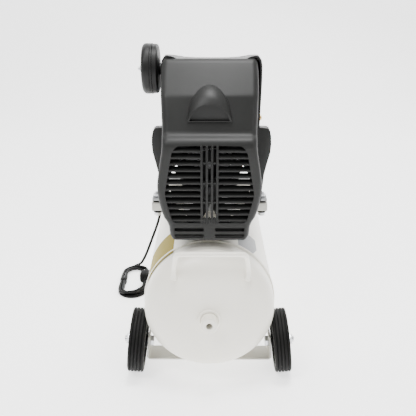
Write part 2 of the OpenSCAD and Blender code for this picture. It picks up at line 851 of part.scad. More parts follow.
// Quick coupler with the socket that a hose's nipple pushes into
module coupler() {
    color(BRASS) difference() {
        union() {
            translate([coupler_x, switch_y, port_z]) rotate([0, 90, 0]) cylinder(d = 19 / cos(30), h = 7, $fn = 6);
            bar_x(7.5, coupler_x + 7, coupler_x + 34, [switch_y, port_z]);
            bar_x(9.5, coupler_x + 34, coupler_x + 38, [switch_y, port_z]);
        }
        bar_x(5.5, coupler_x + 12, coupler_x + 39, [switch_y, port_z]);
    }
}

module coupler_sleeve() {
    color(ZINC) difference() {
        union() {
            bar_x(11.5, coupler_x + 13, coupler_x + 33, [switch_y, port_z]);
            bar_x(12.5, coupler_x + 14, coupler_x + 18, [switch_y, port_z]);
        }
        bar_x(7.5 + fit, coupler_x + 12, coupler_x + 34, [switch_y, port_z]);
    }
}

// ---------- shroud ----------

cowl_bottom = 298;

// Half outline of the front cowl seen from the front, inset by t
function cowl_front(t) = [[66 - t, cowl_bottom], [70 - t, 303], [72 - t, 326], [82 - t, 340], [87 - t, 365],
    [91.4 - t, 392], [87 - t, 426], [80.6 - t, 464], [82 - t, 490], [85 - t, 560], [85 - t, shroud_top - 9 - t],
    [76 - t, shroud_top - t]];

// Outline of the front cowl seen from the side (Y, Z), inset by t: face, shoulder and two facets
function cowl_side(t) = [[face_y + t, cowl_bottom], [face_y + t, 466], [face_y + 3 + t * 0.8, 475 - t * 0.5],
    [face_y + 10 + t * 0.5, 481 - t * 0.8], [face_y + 20 + t * 0.7, 485 - t * 0.9], [face_y + 45 + t * 0.8, 546 - t * 0.6],
    [face_y + 93 + t * 0.5, shroud_top - 2 - t], [split_y, shroud_top - t]];

// The cowl's outer form, or its cavity, which runs on below and behind
module cowl_form(t) {
    run = t > 0 ? 40 : 0;
    front = cowl_front(t);
    side = cowl_side(t);
    intersection() {
        translate([0, split_y + run, 0]) rotate([90, 0, 0]) linear_extrude(split_y - face_y + run + 1)
            polygon(concat([[front[0][0], cowl_bottom - run]], front, mirrored(front), [[-front[0][0], cowl_bottom - run]]));
        rotate([90, 0, 90]) linear_extrude(200, center = true)
            polygon(concat([[side[0][0], cowl_bottom - run]], side,
                [[split_y + run, shroud_top - t], [split_y + run, cowl_bottom - run]]));
    }
}

// D-shaped air nose on the cowl's sloping top
module nose() {
    hull() {
        intersection() {
            bar_y(39.7, -216, -214, [0, 495.3]);
            block([-40, -217, 505], [40, -213, 536]);
        }
        bar_y(30, -200, -198, [0, 502]);
        bar_y(14, -182, -180, [0, 547]);
    }
}

function opening(inset) = let (i = inset) [[65 - i, 330 + i], [78 - i, 381], [64 - i, 459 - i / 2], [55 - i / 2, 470 - i]];

module opening_2d(inset) {
    half = opening(inset);
    polygon(concat(half, mirrored(half)));
}

// Fan baffle across the cowl, and a wall that hides the works behind the lower slots
module baffle() {
    intersection() {
        cowl_form(0.5);
        union() {
            difference() {
                block([-100, -198, cowl_bottom], [100, -195, 620]);
                bar_y(fan_r + 3, -199, -194, axis);
            }
            block([-64, face_y + 7, cowl_bottom + 1], [64, face_y + 10, 327]);
        }
    }
}

module fan_cowl() {
    color(SHELL_GREY) union() {
        difference() {
            union() {
                cowl_form(0);
                nose();
            }
            cowl_form(shroud_t);
            translate([0, face_y + 20, 0]) rotate([90, 0, 0]) linear_extrude(30) opening_2d(0);
            for (s = [-1, 1]) for (z = [302, 314]) block([s > 0 ? 10 : -62, face_y - 1, z], [s > 0 ? 62 : -10, face_y + 10, z + 7]);
        }
        baffle();
    }
}

// Grille insert: two banks of slats either side of a barred column
module front_grille() {
    slats = 12;
    slat_h = 4.6;
    column = 16.5;
    color(SHELL_GREY) translate([0, face_y + 6, 0]) rotate([90, 0, 0]) linear_extrude(5) difference() {
        union() {
            difference() {
                opening_2d(0);
                opening_2d(3);
            }
            intersection() {
                opening_2d(0);
                union() {
                    for (s = [-1, 1]) for (i = [0:slats - 1])
                        translate([s > 0 ? column - 1 : -90, 333 + i * slat_pitch]) square([91 - column, slat_h]);
                    for (x = [-13.5, -4.5, 4.5, 13.5]) translate([x - 2, 320]) square([4.2, 155]);
                    for (z = [369, 404, 440]) translate([-column, z - 1.5]) square([2 * column, 3]);
                    translate([-column, 325]) square([2 * column, 14]);
                    translate([0, 437]) circle(6);
                }
            }
        }
        translate([0, 437]) circle(2.5);
    }
}

shell_shift = 3.5;

// Half outlines of the rear shell seen from behind, inset by t: the tall middle and the wider ears
function shell_middle(t) = [[88 - t, 476], [90 - t, 560], [89 - t, shroud_top - 8 - t], [81 - t, shroud_top + 1 - t]];
function shell_ears(t) = [[97 - t, 330], [101 - t, 384], [112 - t, 428], [112 - t, 456 - t / 2], [107 - t, 468 - t],
    [80 - t, 474 - t]];

// Outline of the middle seen from the side (Y, Z), inset by t
function shell_side(t) = [[split_y + 35, shroud_top + 1 - t], [-60, 594 - t], [-15, 581 - t], [50, 551 - t],
    [shell_end_y - t, 505 - t]];

ear_y = split_y + 12;

module shell_form(t) {
    run = t > 0 ? 1 : 0;
    foot = t > 0 ? 290 : 330;
    end_y = shell_end_y - t;
    middle = shell_middle(t);
    ears = concat([[shell_ears(t)[0][0], foot]], shell_ears(t));
    translate([shell_shift, 0, 0]) {
        intersection() {
            translate([0, end_y, 0]) rotate([90, 0, 0]) linear_extrude(end_y - split_y + run)
                polygon(concat([[88 - t, foot]], middle, mirrored(middle), [[t - 88, foot]]));
            rotate([90, 0, 90]) linear_extrude(240, center = true)
                polygon(concat([[split_y - run, foot], [split_y - run, shroud_top - 1 - t]], shell_side(t), [[end_y, foot]]));
        }
        intersection() {
            translate([0, end_y, 0]) rotate([90, 0, 0]) linear_extrude(end_y - ear_y - t) polygon(concat(ears, mirrored(ears)));
            rotate([90, 0, 90]) linear_extrude(240, center = true)
                polygon([[ear_y - 1, foot - 1], [ear_y - 1, 480 - t], [-106, 475 - t], [end_y + 1, 402 - t], [end_y + 1, foot - 1]]);
        }
    }
}

module rear_shell() {
    slots = 8;
    color(SHELL_GREY) difference() {
        shell_form(0);
        shell_form(shroud_t);
        bar_x(11, -120, -60, filter_at);
        bar_x(3, -110, 110, [split_y + 8, 495]);
        for (i = [0:slots - 1]) block([-60, shell_end_y - 6, 350 + i * 14], [67, shell_end_y + 2, 357 + i * 14]);
    }
}

module shroud_screws() {
    color(BRASS) {
        for (s = [-1, 1]) translate([shell_shift, split_y + 8, 495]) rotate([0, s * 90, 0]) {
            translate([0, 0, 80]) cylinder(r = 3, h = 10);
            translate([0, 0, 90]) cylinder(r = 5.5, h = 4);
        }
        bar_y(2.5, face_y - 1, face_y + 6, [0, 437]);
    }
}

// ---------- mains lead ----------

lead_r = lead_d / 2;
lead_exit = [-76, switch_y, 376];
hank_c = [-194, 140];
hank_straight = 84;
hank_in = 22;
hank_out = 37;
hank_h = 2 * lead_d;

// Strain relief and its nut on the switch
module cord_gland() {
    color(DARK) translate([-32, lead_exit[1], lead_exit[2]]) rotate([0, -90, 0]) {
        cylinder(r = 9, h = 8);
        translate([0, 0, 8]) cylinder(r1 = 7, r2 = lead_r + 0.8, h = 36);
    }
}

// The lead falls beside the tank and lands just outside the far end of its hank
ROUTE = [[-76, 175, 376], [-86, 175, 376], [-96, 176, 372], [-104, 178, 361], [-109, 181, 343], [-112, 184, 320],
    [-114, 187, 295], [-116, 190, 268], [-118, 193, 242], [-121, 196, 216], [-125, 198, 190], [-130, 200, 165],
    [-137, 202, 140], [-147, 205, 112], [-158, 208, 82], [-169, 212, 53], [-179, 217, 31], [-189, 224, 15],
    [-201, 226, 8], [-212, 222, 4.6], [-222.5, 212.5, 4]];
// The last turn of the hank rises to the back of the plug
TAIL = [[-194, 65, 18], [-183, 67, 19.5], [-173, 73, 22], [-165, 82, 24.5], [-161.4, 94, 26.6], [-161, 103.3, 27]];

module cord_run() {
    color(RUBBER) {
        swept(smooth(ROUTE, 2), lead_r, 10, [0, 1, 0]);
        swept(smooth(TAIL, 2), lead_r, 10, [1, 0, 0]);
    }
}

module cord_hank() {
    color(RUBBER) translate([hank_c[0], hank_c[1], 0]) linear_extrude(hank_h) difference() {
        for (s = [-1, 1]) union() {
            translate([0, s * hank_straight / 2]) circle(hank_out);
            translate([-hank_out, -hank_straight / 2]) square([2 * hank_out, hank_straight]);
        }
        for (s = [-1, 1]) union() {
            translate([0, s * hank_straight / 2]) circle(hank_in);
            translate([-hank_in, -hank_straight / 2]) square([2 * hank_in, hank_straight]);
        }
    }
}

// Generic two-pin plug lying on the hank
module plug() {
    x = -161;
    z = 27;
    color(RUBBER) {
        bar_y(8, 104, 114, [x, z]);
        rounded_block([x - 16, 114, hank_h], [x + 16, 144, 2 * z - hank_h], 8);
    }
    color(ZINC) for (s = [-1, 1]) bar_y(2.4, 144, 163, [x + s * 9.5, z]);
}

tank_barrel();
near_end();
far_end();
near_bung();
rod_handles();
axle_bracket();
hex_bolts();
foot_bracket();
rubber_feet();
cross_members();
mount_buffers();
drain_cock();
drain_screw();
tyre_left();
hub_left();
tyre_right();
hub_right();
crankcase();
crankcase_cover();
bearings();
crankshaft();
fan();
rotor();
connecting_rod();
crank_pin();
piston();
wrist_pin();
cylinder_barrel();
valve_plate();
cylinder_head();
head_bolts();
filter_base();
filter_element();
filter_cover();
filter_stud();
motor_housing();
stator();
end_bell();
discharge_pipe();
check_valve();
switch_base();
switch_cover();
switch_knob();
manifold();
regulator_knob();
gauges();
tank_needle();
outlet_needle();
safety_valve();
safety_ring();
coupler();
coupler_sleeve();
fan_cowl();
front_grille();
rear_shell();
shroud_screws();
cord_gland();
cord_run();
cord_hank();
plug();
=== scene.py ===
"""Air compressor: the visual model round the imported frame.

A direct-drive piston compressor on a horizontal wheeled tank. Each sub-assembly is a class that builds and
dresses its own meshes; each finish is a frozen dataclass that makes one procedural material. Lengths are in
metres.
"""
import logging
import math
from dataclasses import dataclass
from enum import Enum
from typing import Callable, Iterable, Optional, Sequence

import bmesh
import bpy
from mathutils import Matrix, Vector


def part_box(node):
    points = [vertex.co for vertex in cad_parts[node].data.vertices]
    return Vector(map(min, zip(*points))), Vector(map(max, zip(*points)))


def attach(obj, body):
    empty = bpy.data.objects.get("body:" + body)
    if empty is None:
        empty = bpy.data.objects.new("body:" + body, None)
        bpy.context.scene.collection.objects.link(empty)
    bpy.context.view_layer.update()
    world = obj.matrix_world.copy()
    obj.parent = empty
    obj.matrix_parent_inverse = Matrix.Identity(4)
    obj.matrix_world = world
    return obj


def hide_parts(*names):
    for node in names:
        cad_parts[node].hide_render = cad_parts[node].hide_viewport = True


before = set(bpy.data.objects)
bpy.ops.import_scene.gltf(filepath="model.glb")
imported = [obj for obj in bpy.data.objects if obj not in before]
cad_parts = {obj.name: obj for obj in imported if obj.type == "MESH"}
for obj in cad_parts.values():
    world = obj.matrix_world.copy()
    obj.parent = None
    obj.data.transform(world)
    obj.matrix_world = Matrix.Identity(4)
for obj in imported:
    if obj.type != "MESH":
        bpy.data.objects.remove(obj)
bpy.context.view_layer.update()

logging.basicConfig(level=logging.INFO, format="%(name)s: %(message)s")
LOG = logging.getLogger("compressor")

MM = 0.001
FULL_TURN = 2 * math.pi
DIAL_SWEEP = 270
DIAL_START = math.radians(45)
SAME_POINT = 1e-6
FLAT = math.radians(0.6)
REFINED_EDGE = 32.0
AFTER_CUT = 5e-6
TANK_AXIS_Z = 0.1575
TANK_R = 0.1225
BARREL_R = 0.124
SEAM_Y = 0.205
CRANK_Z = 0.385
SWITCH_Y = 0.175
SHELL_SHIFT = 0.0035


class Body(str, Enum):
    """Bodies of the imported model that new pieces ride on."""

    TANK = "tank"
    LEFT_WHEEL = "left_wheel"
    RIGHT_WHEEL = "right_wheel"
    CRANK = "crank"
    PISTON = "piston"
    ROD = "rod"
    SWITCH = "switch_knob"
    REGULATOR = "regulator_knob"
    DRAIN = "drain_screw"
    RING = "safety_ring"
    SLEEVE = "coupler_sleeve"
    TANK_NEEDLE = "tank_needle"
    OUTLET_NEEDLE = "outlet_needle"


# ---------------------------------------------------------------- finishes


class Graph:
    """A small helper that builds one material's node tree."""

    def __init__(self, name: str) -> None:
        """Start an empty material with a Principled shader.

        Args:
            name: Name of the material.
        """
        self.material = bpy.data.materials.new(name)
        self.material.use_nodes = True
        self.tree = self.material.node_tree
        self.shader = self.tree.nodes["Principled BSDF"]
        self.coordinates = self.tree.nodes.new("ShaderNodeTexCoord")

    def link(self, out_socket: bpy.types.NodeSocket, in_socket: bpy.types.NodeSocket) -> None:
        """Join two sockets."""
        self.tree.links.new(out_socket, in_socket)

    def placed(self, scale: Sequence[float]) -> bpy.types.NodeSocket:
        """Object coordinates stretched by a scale.

        Args:
            scale: Factor along each axis.

        Returns:
            The stretched vector's socket.
        """
        mapping = self.tree.nodes.new("ShaderNodeMapping")
        mapping.inputs["Scale"].default_value = tuple(scale)
        self.link(self.coordinates.outputs["Object"], mapping.inputs["Vector"])
        return mapping.outputs["Vector"]

    def noise(self, scale: float, detail: float = 3.0,
              stretch: Sequence[float] = (1, 1, 1)) -> bpy.types.NodeSocket:
        """Fractal noise on Object coordinates.

        Args:
            scale: Cycles per metre.
            detail: Octaves.
            stretch: Factor along each axis.

        Returns:
            The noise's factor socket.
        """
        node = self.tree.nodes.new("ShaderNodeTexNoise")
        node.inputs["Scale"].default_value = scale
        node.inputs["Detail"].default_value = detail
        self.link(self.placed(stretch), node.inputs["Vector"])
        return node.outputs["Fac"]

    def ramp(
        self, value: bpy.types.NodeSocket, low: Sequence[float], high: Sequence[float],
        span: Sequence[float] = (0.3, 0.7)
    ) -> bpy.types.NodeSocket:
        """A colour that goes from low to high as a value crosses a span.

        Args:
            value: Driving value.
            low: Colour at the span's start.
            high: Colour at the span's end.
            span: Start and end of the value's span.

        Returns:
            The colour socket.
        """
        node = self.tree.nodes.new("ShaderNodeValToRGB")
        for element, place, colour in zip(node.color_ramp.elements, span, (low, high)):
            element.position = place
            element.color = (*colour, 1)
        self.link(value, node.inputs["Fac"])
        return node.outputs["Color"]

    def spread(self, value: bpy.types.NodeSocket, low: float, high: float) -> bpy.types.NodeSocket:
        """Map a value from 0..1 to low..high.

        Args:
            value: Value from 0 to 1.
            low: Result at 0.
            high: Result at 1.

        Returns:
            The result socket.
        """
        node = self.tree.nodes.new("ShaderNodeMapRange")
        node.inputs["To Min"].default_value = low
        node.inputs["To Max"].default_value = high
        self.link(value, node.inputs["Value"])
        return node.outputs["Result"]

    def mixed(
        self, factor: bpy.types.NodeSocket, first: bpy.types.NodeSocket, second: Sequence[float]
    ) -> bpy.types.NodeSocket:
        """Mix a colour socket with a plain colour.

        Args:
            factor: Share of the second colour.
            first: First colour.
            second: Second colour.

        Returns:
            The mixed colour socket.
        """
        node = self.tree.nodes.new("ShaderNodeMix")
        node.data_type = "RGBA"
        self.link(factor, node.inputs[0])
        self.link(first, node.inputs[6])
        node.inputs[7].default_value = (*second, 1)
        return node.outputs[2]

    def bump(self, heights: Iterable[tuple[bpy.types.NodeSocket, float, float]]) -> None:
        """Stack bumps into the shader's normal.

        Args:
            heights: Tuples of height socket, strength and depth in metres.
        """
        normal = None
        for height, strength, distance in heights:
            node = self.tree.nodes.new("ShaderNodeBump")
            node.inputs["Strength"].default_value = strength
            node.inputs["Distance"].default_value = distance
            self.link(height, node.inputs["Height"])
            if normal is not None:
                self.link(normal, node.inputs["Normal"])
            normal = node.outputs["Normal"]
        self.link(normal, self.shader.inputs["Normal"])

    def edge_wear(self, radius: float) -> bpy.types.NodeSocket:
        """A value near 1 on worn convex edges.

        Args:
            radius: Width of the worn band.

        Returns:
            The wear value's socket.
        """
        pointiness = self.tree.nodes.new("ShaderNodeNewGeometry").outputs["Pointiness"]
        node = self.tree.nodes.new("ShaderNodeMapRange")
        node.inputs["From Min"].default_value = 0.5 + radius
        node.inputs["From Max"].default_value = 0.5 + 2 * radius
        self.link(pointiness, node.inputs["Value"])
        return node.outputs["Result"]


@dataclass(frozen=True)
class Finish:
    """A finish: two close tones, a roughness range and a fine surface grain."""

    name: str
    tone: tuple[float, float, float]
    other_tone: tuple[float, float, float]
    roughness: tuple[float, float]
    grain: float = 900.0
    grain_strength: float = 0.1
    grain_depth: float = 0.0002
    metallic: float = 0.0
    cloud: float = 14.0
    coat: float = 0.0
    worn_tone: Optional[tuple[float, float, float]] = None
    stretch: tuple[float, float, float] = (1, 1, 1)
    shine: float = 0.5

    def make(self) -> bpy.types.Material:
        """Build the material, or return it if it is there already.

        Returns:
            The finish's material.
        """
        full_name = f"{self.name}_finish"
        if full_name in bpy.data.materials:
            return bpy.data.materials[full_name]
        graph = Graph(full_name)
        clouds = graph.noise(self.cloud, 4.0, self.stretch)
        grain = graph.noise(self.grain, 2.0, self.stretch)
        colour = graph.ramp(clouds, self.tone, self.other_tone)
        if self.worn_tone is not None:
            colour = graph.mixed(graph.edge_wear(0.03), colour, self.worn_tone)
        graph.link(colour, graph.shader.inputs["Base Color"])
        graph.link(graph.spread(grain, *self.roughness), graph.shader.inputs["Roughness"])
        graph.shader.inputs["Metallic"].default_value = self.metallic
        graph.shader.inputs["Specular IOR Level"].default_value = self.shine
        graph.shader.inputs["Coat Weight"].default_value = self.coat
        graph.shader.inputs["Coat Roughness"].default_value = 0.15
        graph.bump([(grain, self.grain_strength, self.grain_depth), (clouds, 0.06, 0.001)])
        return graph.material


TANK_PAINT = Finish("tank_paint", (0.86, 0.83, 0.735), (0.89, 0.86, 0.77), (0.30, 0.38), 260, 0.10, 0.0003,
                    coat=0.15)
# The brackets, the far foot and the beams wear the tank's own paint; this darker copy of it is painted shade
# from the tank above them.
BRACKET_PAINTED_SHADE = Finish("bracket_paint", (0.56, 0.55, 0.50), (0.61, 0.60, 0.55), (0.38, 0.5), 300, 0.12,
                       0.0003)
SHROUD = Finish("shroud_plastic", (0.0105, 0.0108, 0.0102), (0.0140, 0.0143, 0.0136), (0.40, 0.54), 1500,
                0.35, 0.00015, shine=0.26)
GRILLE = Finish("grille_plastic", (0.0080, 0.0082, 0.0078), (0.0105, 0.0108, 0.0102), (0.38, 0.50), 1500,
                0.3, 0.00012, shine=0.24)
PLASTIC = Finish("black_plastic", (0.0062, 0.0063, 0.0061), (0.0085, 0.0087, 0.0084), (0.38, 0.50), 1400,
                 0.2, 0.0001, shine=0.22)
TYRE = Finish("tyre_rubber", (0.0056, 0.0056, 0.0053), (0.0080, 0.0080, 0.0076), (0.55, 0.70), 900, 0.25,
              0.0002, shine=0.14)
RUBBER = Finish("soft_rubber", (0.0040, 0.0040, 0.0039), (0.0058, 0.0058, 0.0056), (0.55, 0.7), 900, 0.2,
                0.0002, shine=0.12)
BLACKED = Finish("blacked_steel", (0.020, 0.020, 0.021), (0.032, 0.032, 0.033), (0.40, 0.55), 700, 0.1,
                 0.0001, metallic=0.5)
ZINC = Finish("zinc_plate", (0.55, 0.56, 0.58), (0.63, 0.63, 0.64), (0.24, 0.40), 500, 0.08, 0.0001,
              metallic=1.0)
STEEL = Finish("ground_steel", (0.42, 0.42, 0.43), (0.50, 0.50, 0.50), (0.22, 0.38), 700, 0.1, 0.0001,
               metallic=1.0)
CAST = Finish("die_casting", (0.27, 0.275, 0.28), (0.34, 0.345, 0.345), (0.45, 0.62), 420, 0.4, 0.0004,
              metallic=1.0)
BRASS = Finish("turned_brass", (0.60, 0.40, 0.15), (0.70, 0.49, 0.20), (0.22, 0.36), 600, 0.08, 0.0001,
               metallic=1.0)
COPPER = Finish("copper_pipe", (0.62, 0.28, 0.15), (0.50, 0.21, 0.12), (0.28, 0.45), 300, 0.06, 0.0001,
                metallic=1.0)
WINDING = Finish("winding", (0.30, 0.10, 0.035), (0.40, 0.15, 0.05), (0.3, 0.45), 700, 0.6, 0.0008,
                 stretch=(1, 6, 1))
PAPER = Finish("filter_paper", (0.60, 0.53, 0.34), (0.68, 0.61, 0.42), (0.8, 0.9), 700, 0.3, 0.0003)
RED = Finish("red_plastic", (0.42, 0.008, 0.006), (0.50, 0.012, 0.009), (0.22, 0.3), 700, 0.05, 0.0001,
             coat=0.3)
DIAL = Finish("dial_white", (0.80, 0.80, 0.78), (0.84, 0.84, 0.82), (0.3, 0.4), 400, 0.02, 0.0001)
SHEATH = Finish("lead_sheath", (0.0035, 0.0035, 0.0035), (0.0050, 0.0050, 0.0050), (0.40, 0.50), 900, 0.12,
                0.0001, shine=0.14)
YELLOW = Finish("yellow_sticker", (0.27, 0.205, 0.001), (0.29, 0.22, 0.001), (0.45, 0.53), 300, 0.02,
                0.0001, shine=0.1)
PALE = Finish("pale_sticker", (0.16, 0.17, 0.18), (0.34, 0.345, 0.35), (0.35, 0.43), 300, 0.02, 0.0001,
              cloud=900)
INK = Finish("printed_ink", (0.02, 0.02, 0.02), (0.03, 0.03, 0.03), (0.4, 0.5), 300, 0.02, 0.0001)


# ---------------------------------------------------------------- shaping


def dressed(
    name: str, bm: bmesh.types.BMesh, finish: Finish, body: Body, smooth: float = 35.0,
    node: Optional[str] = None,
) -> bpy.types.Object:
    """Turn a finished bmesh into a piece that rides on a body.

    Args:
        name: Name of the piece.
        bm: Its mesh, which is freed.
        finish: Its finish.
        body: The body it rides on.
        smooth: Angle in degrees past which an edge stays sharp.
        node: The CAD node that it replaces, if it replaces one.

    Returns:
        The new object.
    """
    mesh = bpy.data.meshes.new(name)
    sharp = math.radians(smooth)
    for face in bm.faces:
        face.smooth = True
    for edge in bm.edges:
        edge.smooth = len(edge.link_faces) == 2 and edge.calc_face_angle(0.0) < sharp
    bm.to_mesh(mesh)
    bm.free()
    mesh.materials.append(finish.make())
    obj = bpy.data.objects.new(name, mesh)
    bpy.context.scene.collection.objects.link(obj)
    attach(obj, body.value)
    if node is not None:
        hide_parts(node)
    LOG.info("%s: %d faces on %s", name, len(mesh.polygons), body.value)
    return obj


def tidied(bm: bmesh.types.BMesh, distance: float = SAME_POINT) -> bmesh.types.BMesh:
    """Merge doubles and turn every face outwards.

    Args:
        bm: The mesh.
        distance: Merging distance.

    Returns:
        The same mesh.
    """
    bmesh.ops.remove_doubles(bm, verts=bm.verts, dist=distance)
    bmesh.ops.recalc_face_normals(bm, faces=bm.faces)
    return bm


def bevelled(bm: bmesh.types.BMesh, edges: list[bmesh.types.BMEdge], offset: float, segments: int) -> None:
    """Round some edges of a mesh in place."""
    bmesh.ops.bevel(bm, geom=edges, offset=offset, offset_type="OFFSET", segments=segments, profile=0.5,
                    affect="EDGES", clamp_overlap=True, material=-1)


def rounded_edges(
    bm: bmesh.types.BMesh, offset: float, segments: int = 2, angle: float = 30.0,
    chosen: Optional[Callable[[bmesh.types.BMEdge], bool]] = None,
) -> bmesh.types.BMesh:
    """Round the edges that are sharper than an angle.

    Args:
        bm: The mesh.
        offset: Width of the rounding.
        segments: Steps across the rounding.
        angle: Least angle between faces, in degrees.
        chosen: A further test of each edge.

    Returns:
        The same mesh.
    """
    limit = math.radians(angle)
    edges = [
        e for e in bm.edges
        if len(e.link_faces) == 2 and e.calc_face_angle(0.0) > limit and (chosen is None or chosen(e))
    ]
    bevelled(bm, edges, offset, segments)
    return bm


def block(low: Sequence[float], high: Sequence[float], edge: float = 0.0,
          segments: int = 2) -> bmesh.types.BMesh:
    """A box between two corners with rounded edges.

    Args:
        low: Lowest corner.
        high: Highest corner.
        edge: Radius of its edges.
        segments: Steps across each edge.

    Returns:
        The box.
    """
    bm = bmesh.new()
    bmesh.ops.create_cube(bm, size=1.0)
    low, high = Vector(low), Vector(high)
    size = high - low
    bmesh.ops.scale(bm, vec=size, verts=bm.verts)
    bmesh.ops.translate(bm, vec=(low + high) / 2, verts=bm.verts)
    if edge > 0:
        rounded_edges(bm, edge, segments)
    return bm


def standing(centre: Sequence[float], axis: Sequence[float]) -> Matrix:
    """The placement that stands the Z axis along an axis at a point."""
    turn = Vector((0, 0, 1)).rotation_difference(Vector(axis)).to_matrix().to_4x4()
    return Matrix.Translation(Vector(centre)) @ turn


def turned(
    profile: Sequence[tuple[float, float]], centre: Sequence[float], axis: Sequence[float], steps: int = 64,
    closed: bool = False,
) -> bmesh.types.BMesh:
    """A body of revolution.

    Args:
        profile: Points (radius, distance along the axis); it starts and ends on the axis unless closed.
        centre: Point that the distances are counted from.
        axis: Direction of the axis.
        steps: Steps round the turn.
        closed: Whether the profile is a closed loop, as a ring's is.

    Returns:
        The turned mesh.
    """
    bm = bmesh.new()
    verts = [bm.verts.new((r, 0, h)) for r, h in profile]
    edges = [bm.edges.new(pair) for pair in zip(verts, verts[1:])]
    if closed:
        edges.append(bm.edges.new((verts[-1], verts[0])))
    bmesh.ops.spin(
        bm, geom=verts + edges, cent=(0, 0, 0), axis=(0, 0, 1), dvec=(0, 0, 0), angle=FULL_TURN, steps=steps,
        use_merge=True,
    )
    bmesh.ops.transform(bm, matrix=standing(centre, axis), verts=bm.verts)
    return tidied(bm)


def drum(
    radius: float, low: float, high: float, centre: Sequence[float], axis: Sequence[float], steps: int
) -> bmesh.types.BMesh:
    """A plain solid cylinder from low to high along an axis, as a disc, a core or a cutting tool."""
    return turned([(0.0, low), (radius, low), (radius, high), (0.0, high)], centre, axis, steps)


def oval(middle: tuple[float, float], reach: tuple[float, float], count: int) -> list[tuple[float, float]]:
    """Closed oval section for a bead.

    Args:
        middle: Its middle.
        reach: Its half widths.
        count: Number of points.

    Returns:
        The points.
    """
    turns = [FULL_TURN * i / count for i in range(count)]
    return [(middle[0] + reach[0] * math.cos(a), middle[1] + reach[1] * math.sin(a)) for a in turns]


def ring_of(
    bm: bmesh.types.BMesh, centre: Vector, side: Vector, up: Vector, radius: float, sides: int
) -> list[bmesh.types.BMEdge]:
    """Add a round ring of edges.

    Args:
        bm: The mesh.
        centre: Middle of the ring.
        side: First direction across the ring.
        up: Second direction across the ring.
        radius: Its radius.
        sides: Number of edges.

    Returns:
        The ring's edges.
    """
    turns = [FULL_TURN * i / sides for i in range(sides)]
    verts = [bm.verts.new(centre + radius * (math.cos(a) * side + math.sin(a) * up)) for a in turns]
    return [bm.edges.new((verts[i], verts[(i + 1) % sides])) for i in range(sides)]


def swept(path: Sequence[Vector], radius: float, sides: int = 16,
          side: Sequence[float] = (1, 0, 0)) -> bmesh.types.BMesh:
    """A round rod along a path, with closed ends.

    Args:
        path: Points of its centre line.
        radius: Its radius.
        sides: Sides of its section.
        side: A direction across its start.

    Returns:
        The rod.
    """
    bm = bmesh.new()
    points = [Vector(p) for p in path]
    across = Vector(side)
    rings = []
    for i, point in enumerate(points):
        along = (points[min(i + 1, len(points) - 1)] - points[max(i - 1, 0)]).normalized()
        across = (across - across.dot(along) * along).normalized()
        rings.append(ring_of(bm, point, across, along.cross(across), radius, sides))
    for first, second in zip(rings, rings[1:]):
        bmesh.ops.bridge_loops(bm, edges=first + second)
    for ring in (rings[0], rings[-1]):
        bmesh.ops.contextual_create(bm, geom=ring)
    return tidied(bm)


def joined(parts: Iterable[bmesh.types.BMesh]) -> bmesh.types.BMesh:
    """Put several meshes into one and free them.

    Args:
        parts: The meshes.

    Returns:
        The one mesh.
    """
    whole = bmesh.new()
    for part in parts:
        mesh = bpy.data.meshes.new("part")
        part.to_mesh(mesh)
        part.free()
        whole.from_mesh(mesh)
        bpy.data.meshes.remove(mesh)
    return whole


def with_modifier(bm: bmesh.types.BMesh, kind: str, **settings: object) -> bmesh.types.BMesh:
    """Run one modifier on a mesh.

    Args:
        bm: The mesh, which is freed.
        kind: Type of the modifier.
        **settings: Its settings.

    Returns:
        The result.
    """
    mesh = bpy.data.meshes.new("work")
    bm.to_mesh(mesh)
    bm.free()
    obj = bpy.data.objects.new("work", mesh)
    bpy.context.scene.collection.objects.link(obj)
    modifier = obj.modifiers.new(kind.lower(), kind)
    for key, value in settings.items():
        setattr(modifier, key, value)
    bpy.context.view_layer.update()
    result = obj.evaluated_get(bpy.context.evaluated_depsgraph_get()).to_mesh()
    out = bmesh.new()
    out.from_mesh(result)
    bpy.data.objects.remove(obj)
    bpy.data.meshes.remove(mesh)
    return out


def combined(bm: bmesh.types.BMesh, tool: bmesh.types.BMesh,
             operation: str = "DIFFERENCE") -> bmesh.types.BMesh:
    """Cut a tool out of a mesh, or join the two.

    Args:
        bm: The mesh, which is freed.
        tool: The tool, which is freed.
        operation: DIFFERENCE, UNION or INTERSECT.

    Returns:
        The result.
    """
    mesh = bpy.data.meshes.new("tool")
    tool.to_mesh(mesh)
    tool.free()
    cutter = bpy.data.objects.new("tool", mesh)
    bpy.context.scene.collection.objects.link(cutter)
    out = with_modifier(bm, "BOOLEAN", object=cutter, operation=operation, solver="EXACT")
    bpy.data.objects.remove(cutter)
    bpy.data.meshes.remove(mesh)
    return out


def prism(outline: Sequence[tuple[float, float]], span: tuple[float, float], axis: str) -> bmesh.types.BMesh:
    """Extrude a flat outline along X or Y.

    Args:
        outline: Points (Y, Z) for axis X, or (X, Z) for axis Y.
        span: Start and end along the axis.
        axis: "X" or "Y".

    Returns:
        The closed prism.
    """
    bm = bmesh.new()
    at = (lambda a, b: (span[0], a, b)) if axis == "X" else (lambda a, b: (a, span[0], b))
    face = bm.faces.new([bm.verts.new(at(a, b)) for a, b in outline])
    pulled = bmesh.ops.extrude_face_region(bm, geom=[face])["geom"]
    shift = Vector((1, 0, 0) if axis == "X" else (0, 1, 0)) * (span[1] - span[0])
    bmesh.ops.translate(bm, vec=shift, verts=[v for v in pulled if isinstance(v, bmesh.types.BMVert)])
    return tidied(bm)


def arc(centre: tuple[float, float], radius: float, start: float, end: float,
        steps: int) -> list[tuple[float, float]]:
    """Points along an arc.

    Args:
        centre: Its centre.
        radius: Its radius.
        start: Start angle in degrees.
        end: End angle in degrees.
        steps: Steps from start to end.

    Returns:
        The points.
    """
    turns = [math.radians(start + (end - start) * i / steps) for i in range(steps + 1)]
    return [(centre[0] + radius * math.cos(a), centre[1] + radius * math.sin(a)) for a in turns]


